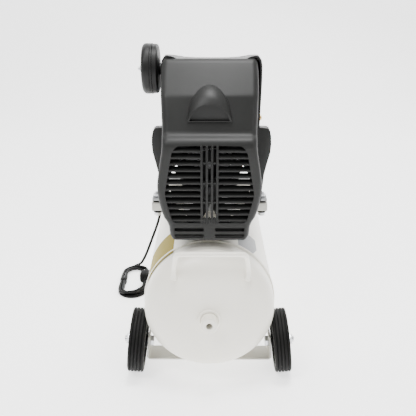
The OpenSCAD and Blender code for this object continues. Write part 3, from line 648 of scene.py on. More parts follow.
def filleted(
    points: Sequence[Sequence[float]], reach: float, steps: int = 3, room: float = 2.1
) -> list[tuple[float, ...]]:
    """Round each inner corner of a polyline, flat or in space, with a short curve.

    Args:
        points: The polyline.
        reach: How far from a corner its curve starts.
        steps: Steps along each curve.
        room: A curve takes at most this fraction of a side, as one over it.

    Returns:
        The rounded polyline.
    """
    line = [Vector(p) for p in points]
    out = [line[0]]
    for before, corner, after in zip(line, line[1:], line[2:]):
        near = min(reach, (before - corner).length / room, (after - corner).length / room)
        first = corner + near * (before - corner).normalized()
        last = corner + near * (after - corner).normalized()
        for i in range(steps + 1):
            t = i / steps
            out.append((1 - t) ** 2 * first + 2 * t * (1 - t) * corner + t * t * last)
    return [tuple(p) for p in [*out, line[-1]]]


def between(value: float, table: Sequence[tuple[float, float]]) -> float:
    """Read a value off a short table of (key, value) pairs in rising order of key.

    Args:
        value: The key.
        table: The pairs.

    Returns:
        The value between the two nearest pairs.
    """
    if value <= table[0][0]:
        return table[0][1]
    for (low, a), (high, b) in zip(table, table[1:]):
        if value <= high:
            return a + (b - a) * (value - low) / (high - low)
    return table[-1][1]


def refined(node: str, finish: Finish, body: Body, edge: float = 0.0004) -> bpy.types.Object:
    """Stand in for a CAD node with a merged copy of it whose edges are softly rounded.

    Args:
        node: Name of the node.
        finish: Its finish.
        body: The body it rides on.
        edge: Radius of the rounded edges.

    Returns:
        The new piece.
    """
    bm = bmesh.new()
    bm.from_mesh(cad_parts[node].data)
    bmesh.ops.remove_doubles(bm, verts=bm.verts, dist=SAME_POINT)
    bmesh.ops.dissolve_limit(bm, angle_limit=FLAT, verts=bm.verts, edges=bm.edges)
    if edge > 0:
        rounded_edges(bm, edge, 2, REFINED_EDGE)
    return dressed(f"{node}_piece", bm, finish, body, REFINED_EDGE, node)


def refine_all(body: Body, rows: Iterable[tuple[str, Finish, float, str]]) -> None:
    """Refine several nodes of one body, given as (node, finish, edge, slot)."""
    for node, finish, edge, slot in rows:
        refined(node, finish, body, edge)


# ---------------------------------------------------------------- studio


@dataclass
class Studio:
    """Camera, floor and soft lights."""

    eye: tuple[float, float, float] = (0.0015, -1.1646, 0.720)
    tilt: float = 21.33
    turn: float = 0.25
    lens: float = 49.2

    def build(self) -> None:
        """Make the camera, the floor, the lights and the world."""
        data = bpy.data.cameras.new("camera")
        data.lens = self.lens
        data.sensor_width = 36.0
        camera = bpy.data.objects.new("camera", data)
        camera.location = self.eye
        camera.rotation_euler = (math.radians(90 - self.tilt), 0.0, math.radians(self.turn))
        bpy.context.scene.collection.objects.link(camera)
        bpy.context.scene.camera = camera
        self.floor()
        self.light("key", (-1.1, -1.5, 2.6), (0.9, 0.9), 50.0)
        self.light("fill", (1.7, -1.6, 1.3), (1.2, 1.2), 12.0)
        self.light("top", (0.1, -0.2, 2.5), (0.6, 0.6), 60.0)
        self.light("back", (0.5, 2.2, 1.6), (1.6, 1.2), 25.0)
        world = bpy.data.worlds.new("studio")
        world.use_nodes = True
        tree = world.node_tree
        tree.nodes["Background"].inputs["Color"].default_value = (1.0, 1.0, 1.0, 1)
        parts = tree.nodes.new("ShaderNodeSeparateXYZ")
        tree.links.new(tree.nodes.new("ShaderNodeTexCoord").outputs["Generated"], parts.inputs["Vector"])
        fall = tree.nodes.new("ShaderNodeMapRange")
        fall.inputs["From Min"].default_value = -0.7
        fall.inputs["From Max"].default_value = 0.5
        fall.inputs["To Min"].default_value = 0.30
        fall.inputs["To Max"].default_value = 1.15
        tree.links.new(parts.outputs["Y"], fall.inputs["Value"])
        tree.links.new(fall.outputs["Result"], tree.nodes["Background"].inputs["Strength"])
        bpy.context.scene.world = world

    def floor(self) -> None:
        """Lay a pale plain floor that rises into a backdrop."""
        line = [(-5.0, 0.0), (1.6, 0.0), *arc((1.6, 1.4), 1.4, -90, 0, 24)[1:], (3.0, 5.0)]
        bm = bmesh.new()
        rows = [[bm.verts.new((x, y, z)) for y, z in line] for x in (-6.0, 6.0)]
        for i in range(len(line) - 1):
            bm.faces.new((rows[0][i], rows[1][i], rows[1][i + 1], rows[0][i + 1])).smooth = True
        mesh = bpy.data.meshes.new("floor")
        bm.to_mesh(mesh)
        bm.free()
        graph = Graph("studio_floor")
        graph.shader.inputs["Base Color"].default_value = (0.95, 0.95, 0.95, 1)
        graph.shader.inputs["Roughness"].default_value = 0.9
        graph.shader.inputs["Specular IOR Level"].default_value = 0.1
        graph.shader.inputs["Emission Color"].default_value = (1.0, 1.0, 1.0, 1)
        graph.shader.inputs["Emission Strength"].default_value = 1.6
        mesh.materials.append(graph.material)
        floor = bpy.data.objects.new("floor", mesh)
        bpy.context.scene.collection.objects.link(floor)

    @staticmethod
    def light(name: str, place: Sequence[float], size: tuple[float, float], power: float) -> None:
        """Hang one soft area light that faces the object.

        Args:
            name: Its name.
            place: Where it hangs.
            size: Its width and height.
            power: Its power in watts.
        """
        data = bpy.data.lights.new(name, "AREA")
        data.shape = "RECTANGLE"
        data.size, data.size_y = size
        data.energy = power
        light = bpy.data.objects.new(name, data)
        light.location = place
        towards = Vector((0, 0, 0.3)) - Vector(place)
        light.rotation_euler = towards.to_track_quat("-Z", "Y").to_euler()
        bpy.context.scene.collection.objects.link(light)


# ---------------------------------------------------------------- mains lead


@dataclass
class MainsLead:
    """The mains lead: its falling run, its tied hank and its plug."""

    diameter: float = 0.007
    length: float = 1.714
    hank_middle: tuple[float, float] = (-0.194, 0.140)
    half_straight: float = 0.042
    outer_turn: float = 0.0330
    inner_turn: float = 0.0255
    low: float = 0.0036
    high: float = 0.0107
    run: tuple[tuple[float, float, float], ...] = (
        (-76, 175, 376), (-86, 175, 376), (-96, 176, 372), (-104, 178, 361), (-109, 181, 343),
        (-112, 184, 320), (-114, 187, 295), (-116, 190, 268), (-118, 193, 242), (-121, 196, 216),
        (-125, 198, 190), (-130, 200, 165), (-137, 202, 140), (-147, 205, 112), (-158, 208, 82),
        (-169, 212, 53), (-179, 217, 31), (-189, 224, 15), (-201, 226, 8), (-212, 222, 4.6),
        (-222.5, 212.5, 4),
    )
    tail: tuple[tuple[float, float, float], ...] = (
        (-194, 65, 18), (-183, 67, 19.5), (-173, 73, 22), (-165, 82, 24.5), (-161.4, 94, 26.6),
        (-161, 103.3, 27),
    )

    def on_loop(self, radius: float, height: float, at: float) -> Vector:
        """A point of one stadium-shaped turn of the hank.

        Args:
            radius: Radius of its round ends.
            height: Height of its centre line.
            at: Place along the turn, in turns, from the start of its far round end.

        Returns:
            The point.
        """
        round_part = math.pi * radius
        straight = 2 * self.half_straight
        way = (at % 1.0) * 2 * (round_part + straight)
        if way < round_part:
            turn = way / radius
            place = (radius * math.cos(turn), self.half_straight + radius * math.sin(turn))
        elif way < round_part + straight:
            place = (-radius, self.half_straight - (way - round_part))
        elif way < 2 * round_part + straight:
            turn = math.pi + (way - round_part - straight) / radius
            place = (radius * math.cos(turn), -self.half_straight + radius * math.sin(turn))
        else:
            place = (radius, -self.half_straight + (way - 2 * round_part - straight))
        return Vector((self.hank_middle[0] + place[0], self.hank_middle[1] + place[1], height))

    def hank(self) -> list[Vector]:
        """Points of the hank: low outer, low inner, high inner, then high outer turn.

        Returns:
            The points in order.
        """
        radii = ((0.30, self.outer_turn + 0.006), (0.38, self.outer_turn), (1.18, self.outer_turn),
                 (1.28, self.inner_turn), (3.00, self.inner_turn), (3.08, self.outer_turn))
        heights = ((2.06, self.low), (2.18, self.high))
        step = 1 / 28
        first, last = 0.33, 3.56
        count = round((last - first) / step)
        places = [first + (last - first) * i / count for i in range(count + 1)]
        return [self.on_loop(between(u, radii), between(u, heights), u) for u in places]

    def points(self) -> list[Vector]:
        """The lead's whole centre line, from the strain relief to the plug.

        Returns:
            Its points in metres.
        """
        run = [Vector(p) * MM for p in self.run]
        tail = [Vector(p) * MM for p in self.tail]
        return run + self.hank() + tail

    def build(self) -> None:
        """Make the lead as a curve, and its plug, tie and strain relief."""
        data = bpy.data.curves.new("mains_lead", "CURVE")
        data.dimensions = "3D"
        data.resolution_u = 6
        data.bevel_depth = self.diameter / 2
        data.bevel_resolution = 4
        data.use_fill_caps = True
        spline = data.splines.new("BEZIER")
        points = self.points()
        spline.bezier_points.add(len(points) - 1)
        for knot, place in zip(spline.bezier_points, points):
            knot.co = place
            knot.handle_left_type = knot.handle_right_type = "AUTO"
        data.materials.append(SHEATH.make())
        lead = bpy.data.objects.new("mains_lead", data)
        bpy.context.scene.collection.objects.link(lead)
        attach(lead, Body.TANK.value)
        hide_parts("cord_run", "cord_hank")
        relief = self.strain_relief()
        plug = self.plug()
        tie = self.tie()
        LOG.info("mains_lead: %d points", len(points))

    def strain_relief(self) -> bpy.types.Object:
        """The ribbed, tapering strain relief with its round collar."""
        start = -0.032
        profile = [(0.0, 0.0), (0.0090, 0.0), (0.0090, 0.008), (0.0072, 0.0085)]
        ribs = 6
        for i in range(ribs):
            at = 0.010 + i * 0.0055
            radius = 0.0070 - 0.0022 * i / (ribs - 1)
            profile += [(radius, at), (radius, at + 0.0032), (radius - 0.0012, at + 0.0036),
                        (radius - 0.0012, at + 0.0052)]
        profile += [(0.0043, 0.0440), (0.0, 0.0440)]
        bm = turned(profile, (start, SWITCH_Y, 0.376), (-1, 0, 0), 32)
        relief = dressed("strain_relief", bm, PLASTIC, Body.TANK, 30, "cord_gland")
        return relief

    def plug(self) -> bpy.types.Object:
        """A generic two-pin plug with finger grips and a ribbed neck."""
        low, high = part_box("plug")
        x = (low.x + high.x) / 2
        z = (low.z + high.z) / 2
        y = low.y
        neck = [(0.0, 0.0), (0.0048, 0.0)]
        for i in range(3):
            at = 0.0015 + i * 0.003
            neck += [(0.0052 + 0.0008 * i, at), (0.0052 + 0.0008 * i, at + 0.0018),
                     (0.0046 + 0.0008 * i, at + 0.0022)]
        neck += [(0.0085, 0.0105), (0.0085, 0.012), (0.0, 0.012)]
        body = block((x - 0.016, y + 0.010, z - 0.013), (x + 0.016, y + 0.040, z + 0.013), 0.0055, 4)
        grips = [
            block((x + s * 0.0158 - 0.0012, y + 0.015 + i * 0.005, z - 0.008),
                  (x + s * 0.0158 + 0.0002, y + 0.0175 + i * 0.005, z + 0.008), 0.0004)
            for s in (-1, 1) for i in range(4)
        ]
        bm = joined([turned(neck, (x, y, z), (0, 1, 0), 32), body, *grips])
        shell = dressed("plug_body", bm, RUBBER, Body.TANK, 35, "plug")
        pins = [
            turned([(0.0, 0.0), (0.0024, 0.0), (0.0024, 0.017), (0.0016, 0.019), (0.0, 0.019)],
                   (x + s * 0.0095, y + 0.040, z), (0, 1, 0), 24)
            for s in (-1, 1)
        ]
        metal = dressed("plug_pins", joined(pins), ZINC, Body.TANK, 30)
        metal.parent = shell
        metal.matrix_parent_inverse = Matrix.Identity(4)
        return shell

    def tie(self) -> bpy.types.Object:
        """The soft tie round the hank's left limb."""
        x, y = self.hank_middle
        middle = (x - (self.outer_turn + self.inner_turn) / 2, y, (self.low + self.high) / 2)
        bm = block((middle[0] - 0.0083, y - 0.006, 0.0), (middle[0] + 0.0083, y + 0.006, 0.0150), 0.003, 3)
        return dressed("lead_tie", bm, RUBBER, Body.TANK, 35)


# ---------------------------------------------------------------- tank and wheels


@dataclass
class Tank:
    """The welded tank with its ends, seams, bosses, handles and brackets."""

    dome: float = 0.056
    skirt: float = 0.019
    fullness: float = 2.9
    wall: float = 0.0025
    handle_radius: float = 0.0045
    seam_turn: float = math.radians(20)
    bung_base: float = -0.2765
    ripples: int = 96
    ripple_depth: float = 0.0003

    def end_profile(self) -> list[tuple[float, float]]:
        """Half section of a dished end: its inside, then its outside.

        Returns:
            Points (radius, distance outwards from the seam).
        """
        outer = [(TANK_R, -0.004), (TANK_R, self.skirt)]
        for i in range(1, 25):
            turn = math.radians(90 * i / 24)
            radius = TANK_R * max(0.0, math.cos(turn)) ** (2 / self.fullness)
            outer.append((radius, self.skirt + self.dome * math.sin(turn) ** (2 / self.fullness)))
        outer[-1] = (0.0, self.skirt + self.dome)
        inner = [(max(0.0, r - self.wall), h - self.wall) if r > self.wall else (0.0, h - self.wall) for r,
                 h in outer[1:]]
        return [*reversed(inner), *outer]

    def build(self) -> None:
        """Make every piece of the tank."""
        for name, side in (("near", -1), ("far", 1)):
            bm = turned(self.end_profile(), (0, side * SEAM_Y, TANK_AXIS_Z), (0, side, 0), 128)
            dressed(f"tank_end_{name}", bm, TANK_PAINT, Body.TANK, 40, f"{name}_end")
        self.barrel()
        self.bung()
        self.handles()
        self.feet()

    def barrel(self) -> None:
        """The rolled barrel with its lengthwise weld, its seams' beads and the bosses on top."""
        half = SEAM_Y
        profile = [(BARREL_R - self.wall, -half), (BARREL_R, -half), (BARREL_R, -half + 0.004),
                   (BARREL_R, half - 0.004), (BARREL_R, half), (BARREL_R - self.wall, half)]
        body = turned(profile, (0, 0, TANK_AXIS_Z), (0, 1, 0), 128, closed=True)
        beads = [
            self.bead(side * (half + 0.0007), BARREL_R - 0.0006, 0.0021, 128) for side in (-1, 1)
        ]
        z = TANK_AXIS_Z - BARREL_R * math.cos(self.seam_turn)
        x = BARREL_R * math.sin(self.seam_turn)
        seam = swept([Vector((x, -half, z)), Vector((x, half, z))], 0.0015, 10)
        dressed("tank_barrel_shell", joined([body, *beads, seam]), TANK_PAINT, Body.TANK, 35,
                "tank_barrel")
        bosses = [
            turned(
                [(0.006, 0.0), (0.0165, 0.0), (0.0160, 0.0095), (0.0145, 0.0125), (0.0110, 0.0130),
                 (0.006, 0.0130)],
                (0, y, 0.277), (0, 0, 1), 48, closed=True,
            )
            for y in (0.132, SWITCH_Y)
        ]
        dressed("tank_bosses", joined(bosses), TANK_PAINT, Body.TANK, 35, "tank_barrel")

    def bead(self, y: float, radius: float, thickness: float, steps: int) -> bmesh.types.BMesh:
        """A weld bead round the tank, slightly rippled.

        Args:
            y: Place along the tank.
            radius: Radius of its centre line.
            thickness: Radius of the bead.
            steps: Steps round the tank.

        Returns:
            The bead.
        """
        section = oval((radius, 0.0), (thickness, thickness * 1.5), 10)
        bm = turned(section, (0, y, TANK_AXIS_Z), (0, 1, 0), steps * 2, closed=True)
        for vert in bm.verts:
            angle = math.atan2(vert.co.z - TANK_AXIS_Z, vert.co.x)
            vert.co.y += self.ripple_depth * math.sin(angle * self.ripples)
        return bm

    def bung(self) -> None:
        """The threaded bung in the near end with its weld."""
        base = self.bung_base
        profile = [(0.0059, 0.0), (0.0059, 0.0255), (0.0068, 0.0262), (0.0138, 0.0262), (0.01525, 0.0248),
                   (0.01525, 0.0)]
        rings = []
        for i in range(7):
            at = 0.002 + i * 0.0032
            rings.append(turned([(0.0059, at), (0.0068, at + 0.0008), (0.0059, at + 0.0016)],
                                (0, base, TANK_AXIS_Z), (0, -1, 0), 40, closed=True))
        body = turned(profile, (0, base, TANK_AXIS_Z), (0, -1, 0), 64, closed=True)
        weld_section = oval((0.0182, 0.0), (0.0034, 0.0034), 12)
        weld = turned(weld_section, (0, base - 0.0035, TANK_AXIS_Z), (0, -1, 0), 96, closed=True)
        dressed("tank_bung", joined([body, weld]), TANK_PAINT, Body.TANK, 35, "near_bung")
        dressed("tank_bung_thread", joined(rings), STEEL, Body.TANK, 35, "near_bung")

    def handles(self) -> None:
        """The two bent rod handles with the welds of their legs."""
        parts = []
        welds = []
        for side, bar, middle, (out, half, foot) in (
            (-1, 0.295, 0.003, (0.2688, 0.0655, 0.237)), (1, 0.2975, 0.0, (0.2718, 0.067, 0.226)),
        ):
            corners = [(middle + s * half, side * out, foot) for s in (-1, 1)]
            line = [corners[0], (middle - half, side * out, 0.256),
                    (middle - half + 0.006, side * bar, 0.296), (middle + half - 0.006, side * bar, 0.296),
                    (middle + half, side * out, 0.256), corners[1]]
            parts.append(swept(filleted(line, 0.011, 8, 2.05), self.handle_radius, 20))
            for corner in corners:
                welds.append(turned(
                    [(0.0, -0.004), (0.0062, -0.0035), (0.0074, 0.0), (0.0068, 0.0025), (0.0052, 0.0045),
                     (0.0, 0.005)],
                    (corner[0], corner[1] - side * 0.004, corner[2] - 0.0015), (0, 0.55 * side, 0.8), 24,
                ))
        dressed("handle_rods", joined(parts), TANK_PAINT, Body.TANK, 35, "rod_handles")
        dressed("handle_welds", joined(welds), TANK_PAINT, Body.TANK, 50, "rod_handles")

    def feet(self) -> None:
        """The wheel bracket, the far foot and the beams under the pump, with eased edges."""
        refine_all(Body.TANK, (
            # The bracket, foot and beam rows take the darker tank paint, which is painted shade under the
            # tank.
            ("axle_bracket", BRACKET_PAINTED_SHADE, 0.0008, "bracket_paint"),
            ("foot_bracket", BRACKET_PAINTED_SHADE, 0.0008, "bracket_paint"),
            ("cross_members", BRACKET_PAINTED_SHADE, 0.0008, "bracket_paint"),
            ("rubber_feet", RUBBER, 0.0015, "rubber"), ("mount_buffers", RUBBER, 0.0012, "rubber"),
            ("drain_cock", BRASS, 0.0004, "brass"),
        ))
        refined("drain_screw", BRASS, Body.DRAIN, 0.0004)
        refined("hex_bolts", ZINC, Body.TANK, 0.0006)


@dataclass
class Wheel:
    """One solid rubber tyre on a moulded hub, leaning in at the top."""

    side: int
    body: Body
    centre_x: float = 0.1405
    centre_y: float = -0.203
    centre_z: float = 0.06333
    camber: float = 5.5
    radius: float = 0.0625
    half_width: float = 0.0155
    core: float = 0.046
    ribs: int = 6

    @property
    def name(self) -> str:
        """Which wheel it is: left or right."""
        return "left" if self.side < 0 else "right"

    def axis(self) -> Vector:
        """Direction of the axle, pointing outwards."""
        lean = math.radians(self.camber)
        return Vector((self.side * math.cos(lean), 0, math.sin(lean)))

    def tyre_profile(self) -> list[tuple[float, float]]:
        """Closed section of the tyre with its four tread grooves.

        Returns:
            Points (radius, place across the tyre).
        """
        half, radius, ease = self.half_width, self.radius, 0.004
        points = [(self.core, -half + 0.001), (self.core + 0.002, -half)]
        points += [(r, h) for h, r in arc((-half + ease, radius - ease), ease, 180, 90, 6)]
        for groove in (-0.0096, -0.0032, 0.0032, 0.0096):
            points += [
                (radius, groove - 0.0014), (radius - 0.0004, groove - 0.0011),
                (radius - 0.0026, groove - 0.0009), (radius - 0.0030, groove - 0.0004),
                (radius - 0.0030, groove + 0.0004), (radius - 0.0026, groove + 0.0009),
                (radius - 0.0004, groove + 0.0011), (radius, groove + 0.0014),
            ]
        points += [(r, h) for h, r in arc((half - ease, radius - ease), ease, 90, 0, 6)]
        points += [(self.core + 0.002, half), (self.core, half - 0.001)]
        return points

    def hub_profile(self) -> list[tuple[float, float]]:
        """Closed section of the hub.

        Returns:
            Points (radius, place across the hub).
        """
        half = self.half_width
        return [
            (0.00605, -half - 0.002), (0.0135, -half - 0.002), (0.0140, -half - 0.0015), (0.0140, -0.003),
            (0.0400, -0.003), (0.0412, -0.0040), (0.0415, -half + 0.003), (0.0460, -half + 0.003),
            (0.0460, half - 0.003), (0.0455, half - 0.0022), (0.0415, half - 0.0022), (0.0410, half - 0.003),
            (0.0405, 0.0050), (0.0395, 0.0040), (0.0195, 0.0040), (0.0182, 0.0050), (0.0180, half - 0.0018),
            (0.0172, half - 0.001), (0.00605, half - 0.001),
        ]

    def build(self) -> None:
        """Make the tyre, its sidewall bead and the hub with its ribs."""
        centre = (self.side * self.centre_x, self.centre_y, self.centre_z)
        axis = self.axis()
        bead_section = oval((0.0515, self.half_width - 0.0004), (0.0016, 0.0011), 10)
        tyre = joined([
            turned(self.tyre_profile(), centre, axis, 144, closed=True),
            turned(bead_section, centre, axis, 96, closed=True),
        ])
        dressed(f"tyre_{self.name}_tread", tyre, TYRE, self.body, 40, f"tyre_{self.name}")
        hub = turned(self.hub_profile(), centre, axis, 96, closed=True)
        upright = standing(centre, axis)
        ribs = []
        for i in range(self.ribs):
            rib = block((0.0175, -0.0015, 0.0035), (0.0412, 0.0015, 0.0098), 0.0006)
            turn = Matrix.Rotation(FULL_TURN * i / self.ribs, 4, "Z")
            bmesh.ops.transform(rib, matrix=upright @ turn, verts=rib.verts)
            ribs.append(rib)
        dressed(f"hub_{self.name}_moulding", joined([hub, *ribs]), PLASTIC, self.body, 35,
                f"hub_{self.name}")


# ---------------------------------------------------------------- shroud


def mirrored(half: Sequence[tuple[float, float]]) -> list[tuple[float, float]]:
    """Close a half outline with its mirror image.

    Args:
        half: Points of the right half, in order.

    Returns:
        The whole outline.
    """
    return [*half, *((-x, z) for x, z in reversed(half))]


def eased(value: float, table: Sequence[tuple[float, float]]) -> float:
    """Read a smooth value off a table of (key, value) pairs in rising order of key.

    Args:
        value: The key.
        table: The pairs.

    Returns:
        The value on a cubic through the pairs.
    """
    keys = [k for k, _ in table]
    if value <= keys[0]:
        return table[0][1]
    if value >= keys[-1]:
        return table[-1][1]
    i = max(n for n, k in enumerate(keys[:-1]) if k <= value)
    slopes = []
    for n in (i, i + 1):
        before, after = table[max(n - 1, 0)], table[min(n + 1, len(table) - 1)]
        slopes.append((after[1] - before[1]) / (after[0] - before[0]))
    step = keys[i + 1] - keys[i]
    t = (value - keys[i]) / step
    a, b = table[i][1], table[i + 1][1]
    return (
        (2 * t**3 - 3 * t**2 + 1) * a + (t**3 - 2 * t**2 + t) * step * slopes[0]
        + (3 * t**2 - 2 * t**3) * b + (t**3 - t**2) * step * slopes[1]
    )


def lofted(rings: Sequence[Sequence[Sequence[float]]]) -> bmesh.types.BMesh:
    """Join rings with the same number of points into a closed body.

    Args:
        rings: The rings in order.

    Returns:
        The body.
    """
    bm = bmesh.new()
    loops = [[bm.verts.new(p) for p in ring] for ring in rings]
    for first, second in zip(loops, loops[1:]):
        for i in range(len(first)):
            j = (i + 1) % len(first)
            bm.faces.new((first[i], first[j], second[j], second[i]))
    bm.faces.new(loops[0])
    bm.faces.new(loops[-1])
    return tidied(bm, 1e-7)


@dataclass
class Cowl:
    """The front cowl over the fan, with its air nose and its grille insert."""

    face_y: float = -0.240
    split_y: float = -0.139
    wall: float = 0.003
    flanks: tuple[tuple[float, float], ...] = (
        (0.298, 0.0665), (0.303, 0.0700), (0.326, 0.0730), (0.340, 0.0810), (0.365, 0.0878), (0.388, 0.0908),
        (0.402, 0.0906), (0.426, 0.0872), (0.464, 0.0812), (0.490, 0.0817), (0.560, 0.0850), (0.590, 0.0852),
    )
    opening: tuple[tuple[float, float], ...] = ((0.065, 0.330), (0.078, 0.381), (0.0640, 0.459),
                                                (0.0550, 0.470))
    slats: int = 12
    slat_pitch: float = 0.0114

    def side_profile(self) -> list[tuple[float, float]]:
        """The cowl's front line from below to the top.

        Returns:
            Points (Y, Z).
        """
        low = [(self.face_y, 0.298 + 0.0082 * i) for i in range(20)]
        shoulder = [(-0.2397, 0.4655), (-0.2388, 0.4705), (-0.2370, 0.4748), (-0.2340, 0.4785),
                    (-0.2300, 0.4812), (-0.2255, 0.4832), (-0.2215, 0.4856), (-0.2188, 0.4892)]
        lower = [(-0.2175 + 0.0205 * i / 6, 0.4925 + 0.0495 * i / 6) for i in range(7)]
        crease = [(-0.1955, 0.5452), (-0.1932, 0.5482)]
        upper = [(-0.1900 + 0.0380 * i / 5, 0.5518 + 0.0428 * i / 5) for i in range(6)]
        top = [(-0.1485, 0.5982), (-0.1450, 0.6004), (-0.1415, 0.6016)]
        return low + shoulder + lower + crease + upper + top

    def half_width(self, z: float) -> float:
        """Half width of the cowl at a height."""
        if z > 0.590:
            drop = min(1.0, (z - 0.590) / 0.0120)
            return 0.0852 - 0.0092 * (1 - math.sqrt(1 - drop * drop))
        return eased(z, self.flanks)

    def form(self, inset: float) -> bmesh.types.BMesh:
        """The cowl's outer form, or its cavity, which runs on below and behind.

        Args:
            inset: How far inside the outer form its surface lies.

        Returns:
            The closed form.
        """
        back = self.split_y + (0.03 if inset else 0.0)
        rings = []
        for y, z in self.side_profile():
            half = self.half_width(z) - inset
            front = y + inset
            height = z - (inset if z > 0.46 else 0.0) * min(1.0, (z - 0.46) / 0.03)
            if inset and not rings:
                height -= 0.03
            corner = min(eased(z, ((0.298, 0.0085), (0.45, 0.0085), (0.49, 0.012), (0.602, 0.012))),
                         back - front - 1e-4)
            corner = max(corner - inset, 0.0012)
            turn = arc((half - corner, front + corner), corner, 0, -90, 7)
            right = [(half, back), *turn]
            rings.append([(x, yy, height) for x, yy in mirrored(right)])
        return lofted(rings)

    def nose(self) -> bmesh.types.BMesh:
        """The D-shaped hood that swells out of the sloping top."""
        steps = 28
        front, back = [], []
        slope = [(z, y) for y, z in self.side_profile() if z > 0.49]
        for i in range(steps + 1):
            angle = math.pi * i / steps
            x = 0.0385 * math.cos(angle)
            rise = math.sqrt(max(0.0, 0.0397**2 - x * x)) - math.sqrt(0.0397**2 - 0.0385**2)
            front.append((x, -0.2155, 0.505 + rise))
            z = 0.505 + 0.0585 * math.sin(angle)
            back.append((x * 1.01, between(z, slope) + 0.0022, z))
        bm = bmesh.new()
        rows = []
        for k in range(6):
            t = k / 5
            row = []
            for i, (a, b) in enumerate(zip(front, back)):
                swell = math.sin(math.pi * i / steps)
                knee = Vector((a[0] * 1.01, a[1] + 0.0105, a[2] + 0.0225 * swell))
                point = (1 - t) ** 2 * Vector(a) + 2 * t * (1 - t) * knee + t * t * Vector(b)
                row.append(bm.verts.new(point))
            rows.append(row)
        for first, second in zip(rows, rows[1:]):
            for i in range(steps):
                bm.faces.new((first[i], first[i + 1], second[i + 1], second[i]))
        bm.faces.new(rows[0])
        middle = bm.verts.new((0, -0.170, 0.520))
        low = [bm.verts.new((s * 0.030, -0.190, 0.500)) for s in (1, -1)]
        rim = [low[0], *rows[-1], low[1]]
        for a, b in zip(rim, rim[1:]):
            bm.faces.new((a, b, middle))
        bm.faces.new((low[1], low[0], middle))
        bm.faces.new([*(row[-1] for row in rows), low[1], low[0], *(row[0] for row in reversed(rows))])
        tidied(bm, 1e-7)
        bmesh.ops.triangulate(bm, faces=[f for f in bm.faces if len(f.verts) > 4
                                         and f.calc_center_median().y > -0.2154])
        on_face = [e for e in bm.edges if all(abs(v.co.y + 0.2155) < 1e-6 for v in e.verts)
                   and len(e.link_faces) == 2]
        bevelled(bm, on_face, 0.0026, 4)
        return bm

    def nose_recess(self) -> bmesh.types.BMesh:
        """The shallow dark recess inside the hood's rim."""
        outline = []
        for i in range(33):
            x = 0.0345 * math.cos(math.pi * i / 32)
            rise = math.sqrt(max(0.0, 0.0357**2 - x * x)) - math.sqrt(0.0357**2 - 0.0345**2)
            outline.append((x, 0.5068 + rise))
        return prism(outline, (-0.222, -0.2095), "Y")

    def outline(self) -> list[tuple[float, float]]:
        """Rounded outline of the grille opening.

        Returns:
            Points (X, Z).
        """
        (x0, z0), (x1, z1), (x2, z2), (x3, z3) = self.opening
        half = filleted([(0.0, z0), (x0, z0), (x1, z1), (x2, z2), (x3, z3), (0.0, z3)], 0.009, 5)
        inner = half[1:-1]
        return mirrored(inner)

    def build(self) -> None:
        """Make the cowl's shell and its insert."""
        shell = combined(self.form(0.0), self.nose(), "UNION")
        shell = combined(shell, self.form(self.wall))
        shell = combined(shell, self.nose_recess())
        shell = combined(shell, prism(self.outline(), (-0.250, -0.230), "Y"))
        for side in (-1, 1):
            for low in (0.302, 0.314):
                ends = sorted((side * 0.010, side * 0.062))
                shell = combined(shell, block((ends[0], -0.25, low), (ends[1], -0.225, low + 0.007), 0.002,
                                              3))
        bmesh.ops.remove_doubles(shell, verts=shell.verts, dist=AFTER_CUT)
        lip = [
            e for e in shell.edges
            if len(e.link_faces) == 2 and e.calc_face_angle(0.0) > 1.2
            and all(abs(v.co.y - self.face_y) < 2e-5 and 0.326 < v.co.z < 0.4712 and abs(v.co.x) < 0.0785
                    for v in e.verts)
        ]
        bevelled(shell, lip, 0.0018, 3)
        dressed("cowl_shell", shell, SHROUD, Body.TANK, 32, "fan_cowl")
        self.baffle()
        self.grille()

    def baffle(self) -> None:
        """The fan's ring and baffle across the cowl, and the wall behind the lower slots."""
        plate = combined(self.form(0.0025), block((-0.1, -0.198, 0.2985), (0.1, -0.195, 0.62)), "INTERSECT")
        hole = drum(0.073, -0.230, -0.180, (0, 0, CRANK_Z), (0, 1, 0), 96)
        plate = combined(plate, hole)
        ring = turned([(0.0731, -0.214), (0.0755, -0.214), (0.0760, -0.2135), (0.0760, -0.1952),
                       (0.0731, -0.1952)],
                      (0, 0, CRANK_Z), (0, 1, 0), 96, closed=True)
        wall = block((-0.064, -0.233, 0.2995), (0.064, -0.230, 0.327), 0.0004)
        dressed("cowl_baffle", joined([plate, ring, wall]), PLASTIC, Body.TANK, 30,
                "fan_cowl")

    def opening_half(self, z: float) -> float:
        """Half width of the opening at a height."""
        table = [(h, x) for x, h in self.opening]
        return between(z, table)

    def slat(self, low_x: float, high_x: float, z: float, high_end: float) -> bmesh.types.BMesh:
        """One louvre slat with a rounded nose that leans up towards its back.

        Args:
            low_x: Its inner end.
            high_x: Its outer end at its lower edge.
            z: Its lower edge.
            high_end: Its outer end at its upper edge.

        Returns:
            The slat.
        """
        section = [(-0.2340, 0.0018), (-0.2382, 0.0000), (-0.2389, 0.0003), (-0.2392, 0.0010),
                   (-0.2392, 0.0028), (-0.2388, 0.0036), (-0.2380, 0.0041), (-0.2300, 0.0072),
                   (-0.2300, 0.0056)]
        rings = []
        for low, high in ((low_x, low_x), (high_x, high_end)):
            rings.append([(low + (high - low) * min(1.0, h / 0.0046), y, z + h) for y, h in section])
        return lofted(rings)

